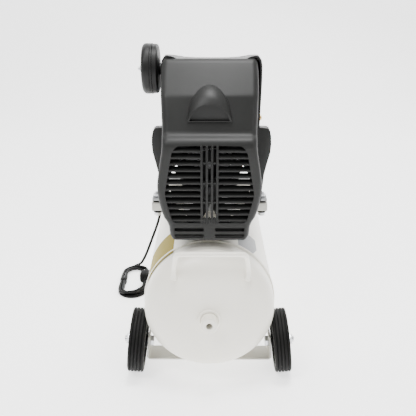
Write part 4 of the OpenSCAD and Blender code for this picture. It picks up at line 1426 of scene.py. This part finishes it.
    def grille(self) -> None:
        """The grille insert: two banks of slats and a barred column with a screw boss."""
        column = 0.0165
        slats = []
        for i in range(self.slats):
            z = 0.333 + i * self.slat_pitch
            low, high = self.opening_half(z), self.opening_half(z + 0.0046)
            for side in (-1, 1):
                slats.append(self.slat(side * (column - 0.001), side * (low + 0.0004), z,
                                       side * (high + 0.0004)))
        dressed("grille_slats", joined(slats), GRILLE, Body.TANK, 30, "front_grille")
        parts = []
        for x in (-0.0135, -0.0045, 0.0045, 0.0135):
            parts.append(block((x - 0.0021, -0.2397, 0.334), (x + 0.0021, -0.2325, 0.4705), 0.0007, 3))
        for z in (0.369, 0.404, 0.440):
            parts.append(block((-column, -0.2392, z - 0.0014), (column, -0.2345, z + 0.0014), 0.0006))
            for x in (-0.009, 0.009):
                parts.append(turned([(0.0, 0.0), (0.0021, 0.0), (0.0019, 0.0020), (0.0, 0.0024)],
                                    (x, -0.2385, z), (0, -1, 0), 16))
        parts.append(block((-column - 0.001, -0.2390, 0.3255), (column + 0.001, -0.2340, 0.3385), 0.0012, 3))
        for i in range(7):
            x = -0.0135 + i * 0.0045
            parts.append(block((x - 0.0009, -0.2402, 0.3275), (x + 0.0009, -0.2385, 0.3420), 0.0004))
        parts.append(turned([(0.0030, -0.002), (0.0060, -0.002), (0.0060, 0.0022), (0.0052, 0.0030),
                             (0.0036, 0.0030), (0.0030, 0.0022)], (0, -0.2380, 0.437), (0, -1,
                             0), 32, closed=True))
        dressed("grille_column", joined(parts), GRILLE, Body.TANK, 30, "front_grille")
        head = turned([(0.0, 0.0002), (0.0013, 0.0002), (0.0014, 0.0009), (0.0024, 0.0007), (0.0029, 0.0),
                       (0.0026, -0.004), (0.0, -0.004)], (0, -0.2402, 0.437), (0, -1, 0), 32)
        dressed("grille_screw_head", head, BLACKED, Body.TANK, 30)


@dataclass
class RearShell:
    """The taller cover over the pump and motor, with its ears and louvres."""

    split_y: float = -0.139
    end_y: float = 0.115
    wall: float = 0.003
    louvres: int = 8
    foot: float = 0.330

    @staticmethod
    def inset(points: Sequence[tuple[float, float]], depth: float) -> list[tuple[float, float]]:
        """Move a half outline inwards: sides by the depth, and what is high also down.

        Args:
            points: The half outline.
            depth: How far.

        Returns:
            The smaller half outline.
        """
        return [(max(x - depth, 0.0), z - (depth if z > 0.47 else 0.0)) for x, z in points]

    def middle(self, depth: float) -> bmesh.types.BMesh:
        """The tall middle: corners that stand a little over a dipped top.

        Args:
            depth: Inset of the form.

        Returns:
            The closed form.
        """
        run = 0.03 if depth else 0.0
        half = [(0.088, self.foot - run), (0.0882, 0.480), (0.0900, 0.560), (0.0898, 0.588),
                (0.0880, 0.5985), (0.0840, 0.6045), (0.0785, 0.6065), (0.0700, 0.6050), (0.0600, 0.6010),
                (0.0500, 0.5975), (0.0300, 0.5955), (0.0, 0.5950)]
        body = prism(mirrored(self.inset(half, depth)), (self.split_y - run, self.end_y - depth), "Y")
        side = [(self.split_y - run - 0.001, 0.250), (self.split_y - run - 0.001, 0.609), (-0.104, 0.6040),
                (-0.080, 0.5990), (-0.055, 0.5925), (-0.030, 0.5850), (0.000, 0.5755), (0.030, 0.5625),
                (0.060, 0.5455), (0.090, 0.5245), (0.108, 0.5100), (0.1135, 0.5020), (self.end_y, 0.4900),
                (self.end_y, 0.250)]
        side = [(y - (depth if y > -0.02 else 0.0), z - (depth if z > 0.48 else 0.0)) for y, z in side]
        return combined(body, prism(side, (-0.15, 0.15), "X"), "INTERSECT")

    def ears(self, depth: float) -> bmesh.types.BMesh:
        """The wider lower part, whose top falls towards the back; its cavity keeps a front wall.

        Args:
            depth: Inset of the form.

        Returns:
            The closed form.
        """
        front = self.split_y + 0.012 + depth
        foot = self.foot - (0.02 if depth else 0.0)
        half = [(0.097, foot), (0.098, 0.352), (0.101, 0.384), (0.1065, 0.408), (0.1112, 0.427),
                (0.1125, 0.442), (0.1118, 0.458), (0.1095, 0.4680), (0.1050, 0.4735), (0.0900, 0.4750)]
        half = [(x - depth, z - (depth if z > 0.46 else 0.0)) for x, z in half]
        body = prism(mirrored(half), (front, self.end_y - depth), "Y")
        side = [(front - 0.001, foot - 0.001), (front - 0.001, 0.480 - depth), (-0.110, 0.4755 - depth),
                (-0.095, 0.4700 - depth), (self.end_y + 0.001, 0.402 - depth),
                (self.end_y + 0.001, foot - 0.001)]
        body = combined(body, prism(side, (-0.15, 0.15), "X"), "INTERSECT")
        if not depth:
            bmesh.ops.remove_doubles(body, verts=body.verts, dist=SAME_POINT)
            rounded_edges(body, 0.004, 3, 50, lambda e: all(v.co.z > self.foot + 0.0005 for v in e.verts))
        return body

    def build(self) -> None:
        """Make the shell and its screws."""
        middle = self.middle(0.0)
        bmesh.ops.remove_doubles(middle, verts=middle.verts, dist=SAME_POINT)
        rounded_edges(middle, 0.005, 3, 55, lambda e: all(v.co.y > -0.13 and v.co.z > self.foot + 0.0005
                                                          for v in e.verts))
        shell = combined(middle, self.ears(0.0), "UNION")
        shell = combined(shell, self.middle(self.wall))
        shell = combined(shell, self.ears(self.wall))
        for i in range(self.louvres):
            z = 0.350 + i * 0.014
            shell = combined(shell, block((-0.060 - SHELL_SHIFT, self.end_y - 0.01, z),
                                          (0.067 - SHELL_SHIFT, self.end_y + 0.01, z + 0.007), 0.002, 3))
        hole = drum(0.0125, -0.02, 0.02, (-0.090 - SHELL_SHIFT, -0.095, 0.578), (1, 0, 0), 48)
        shell = combined(shell, hole)
        bmesh.ops.remove_doubles(shell, verts=shell.verts, dist=AFTER_CUT)
        bmesh.ops.translate(shell, vec=(SHELL_SHIFT, 0, 0), verts=shell.verts)
        dressed("rear_shell_cover", shell, SHROUD, Body.TANK, 32, "rear_shell")
        self.screws()

    def screws(self) -> None:
        """The two washer-headed side screws."""
        heads = []
        for side in (-1, 1):
            profile = [(0.0, 0.0), (0.0055, 0.0), (0.0055, 0.0010), (0.0042, 0.0013), (0.0042, 0.0022),
                       (0.0034, 0.0034), (0.0014, 0.0038), (0.0013, 0.0030), (0.0, 0.0030)]
            heads.append(turned(profile, (SHELL_SHIFT + side * 0.0885, self.split_y + 0.008, 0.495),
                                (side, 0, 0), 32))
        dressed("side_screws", joined(heads), BRASS, Body.TANK, 30, "shroud_screws")


# ---------------------------------------------------------------- pump, filter and controls


@dataclass
class AirFilter:
    """The round intake filter beside the cylinder head."""

    centre_y: float = -0.095
    centre_z: float = 0.578
    radius: float = 0.0455
    inner_x: float = -0.093
    seam_x: float = -0.104
    outer_x: float = -0.123

    def build(self) -> None:
        """Make the pan, the cover with its rings and the stud with its wing-less nut."""
        centre = (0.0, self.centre_y, self.centre_z)
        radius = self.radius
        pan = [(0.0082, 0.080), (0.0120, 0.080), (0.0120, 0.0868), (0.0105, 0.0880), (0.0105, 0.0915),
               (0.0130, -self.inner_x)]
        pan += [(radius - 0.0060, -self.inner_x), (radius - 0.0030, -self.inner_x + 0.0010),
                (radius - 0.0012, -self.inner_x + 0.0030), (radius - 0.0010, -self.seam_x - 0.0008),
                (radius - 0.0016, -self.seam_x), (radius - 0.0045, -self.seam_x),
                (radius - 0.0045, -self.inner_x + 0.0035), (0.0082, -self.inner_x + 0.0030)]
        dressed("filter_pan", turned(pan, centre, (-1, 0, 0), 96, closed=True), PLASTIC, Body.TANK, 30,
                "filter_base")
        depth = -self.outer_x
        edge = [(r, h) for h, r in arc((depth - 0.0080, radius - 0.0080), 0.0080, 90, 0, 8)]
        cover = [(radius - 0.0030, -self.seam_x + 0.0002), (radius, -self.seam_x + 0.0002),
                 (radius, -self.seam_x + 0.0030), (radius - 0.0007, -self.seam_x + 0.0036),
                 (radius - 0.0002, -self.seam_x + 0.0044), *edge, (0.0310, depth), (0.0303, depth - 0.0010),
                 (0.0290, depth - 0.0010), (0.0283, depth), (0.0190, depth), (0.0183, depth - 0.0010),
                 (0.0170, depth - 0.0010), (0.0163, depth), (0.0090, depth), (0.0080, depth + 0.0012),
                 (0.0032, depth + 0.0012), (0.0032, depth - 0.0025), (radius - 0.0095, depth - 0.0025),
                 (radius - 0.0030, depth - 0.0095)]
        dressed("filter_lid", turned(cover, centre, (-1, 0, 0), 128, closed=True), PLASTIC, Body.TANK, 30,
                "filter_cover")
        stud = turned([(0.0, 0.095), (0.0027, 0.095), (0.0027, 0.1312), (0.0020, 0.1320), (0.0, 0.1320)],
                      centre, (-1, 0, 0), 24)
        nut = turned([(0.0028, 0.1243), (0.0062, 0.1243), (0.0064, 0.1250), (0.0064, 0.1278),
                      (0.0058, 0.1285), (0.0028, 0.1285)],
                     centre, (-1, 0, 0), 6, closed=True)
        dressed("filter_stud_nut", joined([stud, nut]), ZINC, Body.TANK, 25, "filter_stud")
        self.paper()

    def paper(self) -> None:
        """The pleated paper ring inside."""
        low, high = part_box("filter_element")
        outer = (high.y - low.y) / 2
        pleats = 60
        rings = []
        for x in (low.x, high.x):
            ring = []
            for i in range(pleats * 2):
                radius = outer - (0.0 if i % 2 else 0.0035)
                angle = FULL_TURN * i / (pleats * 2)
                ring.append((x, self.centre_y + radius * math.cos(angle),
                             self.centre_z + radius * math.sin(angle)))
            rings.append(ring)
        bm = lofted(rings)
        core = drum(outer - 0.009, -0.02, 0.02, ((low.x + high.x) / 2, self.centre_y, self.centre_z),
                    (1, 0, 0), 64)
        dressed("filter_paper_ring", combined(bm, core), PAPER, Body.TANK, 20,
                "filter_element")


@dataclass
class Pump:
    """Crankcase, cylinder, motor and the parts that turn inside them."""

    def build(self) -> None:
        """Make every casting, shaft and pipe with eased edges."""
        refine_all(Body.TANK, (
            ("crankcase", CAST, 0.0008, "cast_aluminium"),
            ("crankcase_cover", CAST, 0.0008, "cast_aluminium"),
            ("cylinder_barrel", CAST, 0.0004, "cast_aluminium"),
            ("cylinder_head", CAST, 0.0005, "cast_aluminium"),
            ("motor_housing", CAST, 0.0006, "cast_aluminium"), ("end_bell", CAST, 0.0008, "cast_aluminium"),
            ("valve_plate", ZINC, 0.0003, "zinc"), ("head_bolts", ZINC, 0.0004, "zinc"),
            ("bearings", STEEL, 0.0004, "steel"), ("stator", WINDING, 0.0006, "winding"),
            ("discharge_pipe", COPPER, 0.0, "copper_pipe"), ("check_valve", BRASS, 0.0004, "brass"),
        ))
        refine_all(Body.CRANK, (
            ("crankshaft", BLACKED, 0.0004, "steel"), ("fan", PLASTIC, 0.0005, "black_plastic"),
            ("rotor", STEEL, 0.0004, "steel"),
        ))
        refine_all(Body.ROD, (
            ("connecting_rod", CAST, 0.0004, "cast_aluminium"), ("crank_pin", STEEL, 0.0003, "steel"),
        ))
        refine_all(Body.PISTON, (
            ("piston", CAST, 0.0003, "cast_aluminium"), ("wrist_pin", STEEL, 0.0003, "steel"),
        ))


@dataclass
class Controls:
    """Manifold, pressure switch, regulator, gauges, safety valve and coupler."""

    dial_z: float = 0.322
    regulator_x: float = 0.058

    def build(self) -> None:
        """Make every piece of the control block."""
        refine_all(Body.TANK, (
            ("manifold", BRASS, 0.0008, "brass"), ("safety_valve", BRASS, 0.0004, "brass"),
            ("coupler", BRASS, 0.0004, "brass"), ("switch_base", PLASTIC, 0.0008, "black_plastic"),
        ))
        self.switch()
        self.regulator()
        self.sleeve()
        refined("safety_ring", ZINC, Body.RING, 0.0)
        for name, x, body in (("tank", 0.0, Body.TANK_NEEDLE),
                              ("outlet", self.regulator_x, Body.OUTLET_NEEDLE)):
            self.gauge(name, x)
            self.needle(name, x, body)

    def switch(self) -> None:
        """The pressure switch's cover with its side ribs, and its pull knob."""
        low, high = (-0.032, 0.138, 0.352), (0.032, 0.212, 0.425)
        cover = block(low, high, 0.006, 5)
        ribs = []
        for i in range(6):
            z = 0.366 + i * 0.0075
            ribs.append(block((-0.0329, 0.147, z), (0.0329, 0.203, z + 0.0028), 0.0009, 3))
        ribs.append(block((-0.0335, 0.1365, 0.3515), (0.0335, 0.2135, 0.3550), 0.0015, 3))
        collar = turned([(0.0, 0.4235), (0.0150, 0.4235), (0.0150, 0.4262), (0.0140, 0.4270), (0.0, 0.4270)],
                        (0, SWITCH_Y, 0), (0, 0, 1), 48)
        dressed("switch_case", joined([cover, *ribs, collar]), PLASTIC, Body.TANK, 35,
                "switch_cover")
        screws = [
            turned([(0.0, 0.4242), (0.0042, 0.4242), (0.0042, 0.4256), (0.0030, 0.4268), (0.0012, 0.4270),
                    (0.0011, 0.4262), (0.0, 0.4262)], (x, y, 0), (0, 0, 1), 24)
            for x, y in ((-0.021, 0.150), (0.021, 0.200))
        ]
        dressed("switch_case_screws", joined(screws), ZINC, Body.TANK, 30)
        profile = [(0.0, 0.4272), (0.0088, 0.4272), (0.0088, 0.4330), (0.0095, 0.4345), (0.0116, 0.4360),
                   (0.0120, 0.4372), (0.0120, 0.4430), (0.0112, 0.4445), (0.0090, 0.4450), (0.0, 0.4446)]
        knob = turned(profile, (0, SWITCH_Y, 0), (0, 0, 1), 64)
        dressed("switch_pull", knob, RED, Body.SWITCH, 30, "switch_knob")

    def regulator(self) -> None:
        """The fluted regulator knob."""
        flutes, steps = 18, 144
        rings = []
        for z, shrink in ((0.3452, 0.0012), (0.3464, 0.0), (0.3610, 0.0), (0.3636, 0.0006),
                          (0.3652, 0.0022), (0.3658, 0.0050)):
            ring = []
            for i in range(steps):
                angle = FULL_TURN * i / steps
                radius = 0.0164 - shrink + 0.0006 * math.cos(flutes * angle) * (1.0 if shrink < 0.002
                                                                                else 0.2)
                ring.append((self.regulator_x + radius * math.cos(angle),
                             SWITCH_Y + radius * math.sin(angle), z))
            rings.append(ring)
        bm = lofted(rings)
        hole = drum(0.0063, 0.34, 0.3545, (self.regulator_x, SWITCH_Y, 0), (0, 0, 1), 48)
        dressed("regulator_turn_knob", combined(bm, hole), PLASTIC, Body.REGULATOR, 30,
                "regulator_knob")

    def sleeve(self) -> None:
        """The coupler's knurled sleeve."""
        low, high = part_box("coupler_sleeve")
        length = high.x - low.x
        inner = 0.0077
        steps = 120
        rings = []
        for at, radius, knurl in ((0.0, 0.0108, 0), (0.0007, 0.0115, 0), (0.0010, 0.0120, 1),
                                  (0.0015, 0.0124, 1), (0.0042, 0.0124, 1), (0.0050, 0.0114, 0),
                                  (0.0070, 0.0113, 0), (0.0078, 0.0115, 1), (length - 0.0030, 0.0115, 1),
                                  (length - 0.0024, 0.0113, 0), (length - 0.0006, 0.0113, 0),
                                  (length, 0.0107, 0)):
            ring = []
            for i in range(steps):
                angle = FULL_TURN * i / steps
                reach = radius - (0.0004 if knurl and i % 2 else 0.0)
                ring.append((low.x + at, SWITCH_Y + reach * math.cos(angle),
                             self.dial_z + reach * math.sin(angle)))
            rings.append(ring)
        bore = drum(inner, -0.03, 0.03, ((low.x + high.x) / 2, SWITCH_Y, self.dial_z), (1, 0, 0), 48)
        dressed("coupler_knurled_sleeve", combined(lofted(rings), bore), ZINC, Body.SLEEVE, 30,
                "coupler_sleeve")

    def gauge(self, name: str, x: float) -> None:
        """One pressure gauge: case, bezel, and dial with its scale.

        Args:
            name: Which gauge it is.
            x: Its place.
        """
        centre = (x, 0.0, self.dial_z)
        case = [(0.0, 0.1995), (0.0055, 0.1995), (0.0060, 0.2000), (0.0185, 0.2000), (0.0196, 0.2010),
                (0.0196, 0.2150), (0.0200, 0.2155), (0.0200, 0.2190), (0.0192, 0.2200), (0.0186, 0.2198),
                (0.0179, 0.2186), (0.0179, 0.2100), (0.0, 0.2100)]
        dressed(f"gauge_{name}_case", turned(case, centre, (0, 1, 0), 96), PLASTIC, Body.TANK, 30,
                "gauges")
        face = drum(0.0178, 0.2100, 0.2104, centre, (0, 1, 0), 96)
        dressed(f"gauge_{name}_dial", face, DIAL, Body.TANK, 30, "gauges")
        marks = []
        for i in range(41):
            turn = math.radians(DIAL_SWEEP * i / 40)
            long = i % 4 == 0
            out_r, in_r, wide = 0.0166, (0.0138 if long else 0.0152), (0.00030 if long else 0.00016)
            tick = block((in_r, 0.2103, -wide), (out_r, 0.21055, wide))
            spot = Matrix.Translation((x, 0, self.dial_z)) @ Matrix.Rotation(DIAL_START - turn, 4, "Y")
            bmesh.ops.transform(tick, matrix=spot, verts=tick.verts)
            marks.append(tick)
        for i in range(6):
            marks.append(self.number(str(2 * i), x, math.radians(DIAL_SWEEP * i / 5)))
        dressed(f"gauge_{name}_scale", joined(marks), INK, Body.TANK, 30, "gauges")

    def number(self, text: str, x: float, turn: float) -> bmesh.types.BMesh:
        """One generic number of a dial's scale, read from the far side.

        Args:
            text: The number.
            x: The gauge's place.
            turn: Its turn from the scale's start.

        Returns:
            Its mesh.
        """
        data = bpy.data.curves.new("number", "FONT")
        data.body = text
        data.size = 0.0042
        data.extrude = 0.0001
        data.resolution_u = 2
        data.align_x, data.align_y = "CENTER", "CENTER"
        obj = bpy.data.objects.new("number", data)
        bpy.context.scene.collection.objects.link(obj)
        bpy.context.view_layer.update()
        mesh = obj.evaluated_get(bpy.context.evaluated_depsgraph_get()).to_mesh()
        bm = bmesh.new()
        bm.from_mesh(mesh)
        bpy.data.objects.remove(obj)
        bpy.data.curves.remove(data)
        angle = DIAL_START - turn
        reach = 0.0110
        place = Vector((x + reach * math.cos(angle), 0.2105, self.dial_z - reach * math.sin(angle)))
        upright = Matrix.Rotation(math.pi, 4, "Z") @ Matrix.Rotation(math.pi / 2, 4, "X")
        bmesh.ops.transform(bm, matrix=Matrix.Translation(place) @ upright, verts=bm.verts)
        return bm

    def needle(self, name: str, x: float, body: Body) -> None:
        """One tapering needle on its hub, resting at the scale's start.

        Args:
            name: Which gauge it is.
            x: The gauge's place.
            body: The body it rides on.
        """
        rings = []
        for reach, wide in ((-0.0048, 0.0011), (0.0, 0.0010), (0.0150, 0.00025)):
            rings.append([(reach, 0.2119, -wide), (reach, 0.2119, wide), (reach, 0.2125, wide),
                          (reach, 0.2125, -wide)])
        blade = lofted(rings)
        spot = Matrix.Translation((x, 0, self.dial_z)) @ Matrix.Rotation(DIAL_START, 4, "Y")
        bmesh.ops.transform(blade, matrix=spot, verts=blade.verts)
        hub = turned([(0.0, 0.2116), (0.0021, 0.2116), (0.0021, 0.2132), (0.0016, 0.2138), (0.0, 0.2139)],
                     (x, 0, self.dial_z), (0, 1, 0), 32)
        dressed(f"{name}_needle_blade", joined([blade, hub]), INK, body, 30,
                f"{name}_needle")


# ---------------------------------------------------------------- stickers


@dataclass
class Sticker:
    """A plain sticker that follows the barrel's curve; it carries no words."""

    name: str
    finish: Finish
    outline: tuple[tuple[float, float], ...]
    lift: float = 0.00025

    def build(self) -> None:
        """Bend the outline, given as (degrees from the top, Y), onto the barrel."""
        radius = BARREL_R + self.lift
        flat = [(math.radians(a) * radius, y) for a, y in self.outline]
        bm = bmesh.new()
        bm.faces.new([bm.verts.new((s, y, 0)) for s, y in flat])
        low = min(s for s, _ in flat)
        high = max(s for s, _ in flat)
        cuts = int((high - low) / 0.003)
        for i in range(1, cuts):
            bmesh.ops.bisect_plane(bm, geom=[*bm.verts, *bm.edges, *bm.faces], dist=SAME_POINT,
                                   plane_co=(low + (high - low) * i / cuts, 0, 0), plane_no=(1, 0, 0))
        for vert in bm.verts:
            angle = vert.co.x / radius
            vert.co = Vector((radius * math.sin(angle), vert.co.y, TANK_AXIS_Z + radius * math.cos(angle)))
        bmesh.ops.recalc_face_normals(bm, faces=bm.faces)
        if sum((f.normal.dot(Vector((f.calc_center_median().x, 0, f.calc_center_median().z - TANK_AXIS_Z)))
                for f in bm.faces)) < 0:
            bmesh.ops.reverse_faces(bm, faces=bm.faces)
        bm = with_modifier(bm, "SOLIDIFY", thickness=0.0004, offset=-1.0)
        dressed(self.name, bm, self.finish, Body.TANK, 35)


STICKERS = (
    Sticker("yellow_sticker", YELLOW, tuple(filleted(
        [(-52, -0.112), (-33, -0.112), (-33, -0.215), (-70, -0.215), (-70, -0.112), (-52, -0.112)], 0.003,
        4)[:-1])),
    Sticker("pale_sticker", PALE, ((26.0, -0.198), (26.0, -0.158), (36.0, -0.120), (47.5, -0.120),
                                   (47.5, -0.165), (41.5, -0.198))),
)


def main() -> None:
    """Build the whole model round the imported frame."""
    Studio().build()
    MainsLead().build()
    Tank().build()
    for side, body in ((-1, Body.LEFT_WHEEL), (1, Body.RIGHT_WHEEL)):
        Wheel(side, body).build()
    Cowl().build()
    RearShell().build()
    AirFilter().build()
    Pump().build()
    Controls().build()
    for sticker in STICKERS:
        sticker.build()


if __name__ == "__main__":
    main()
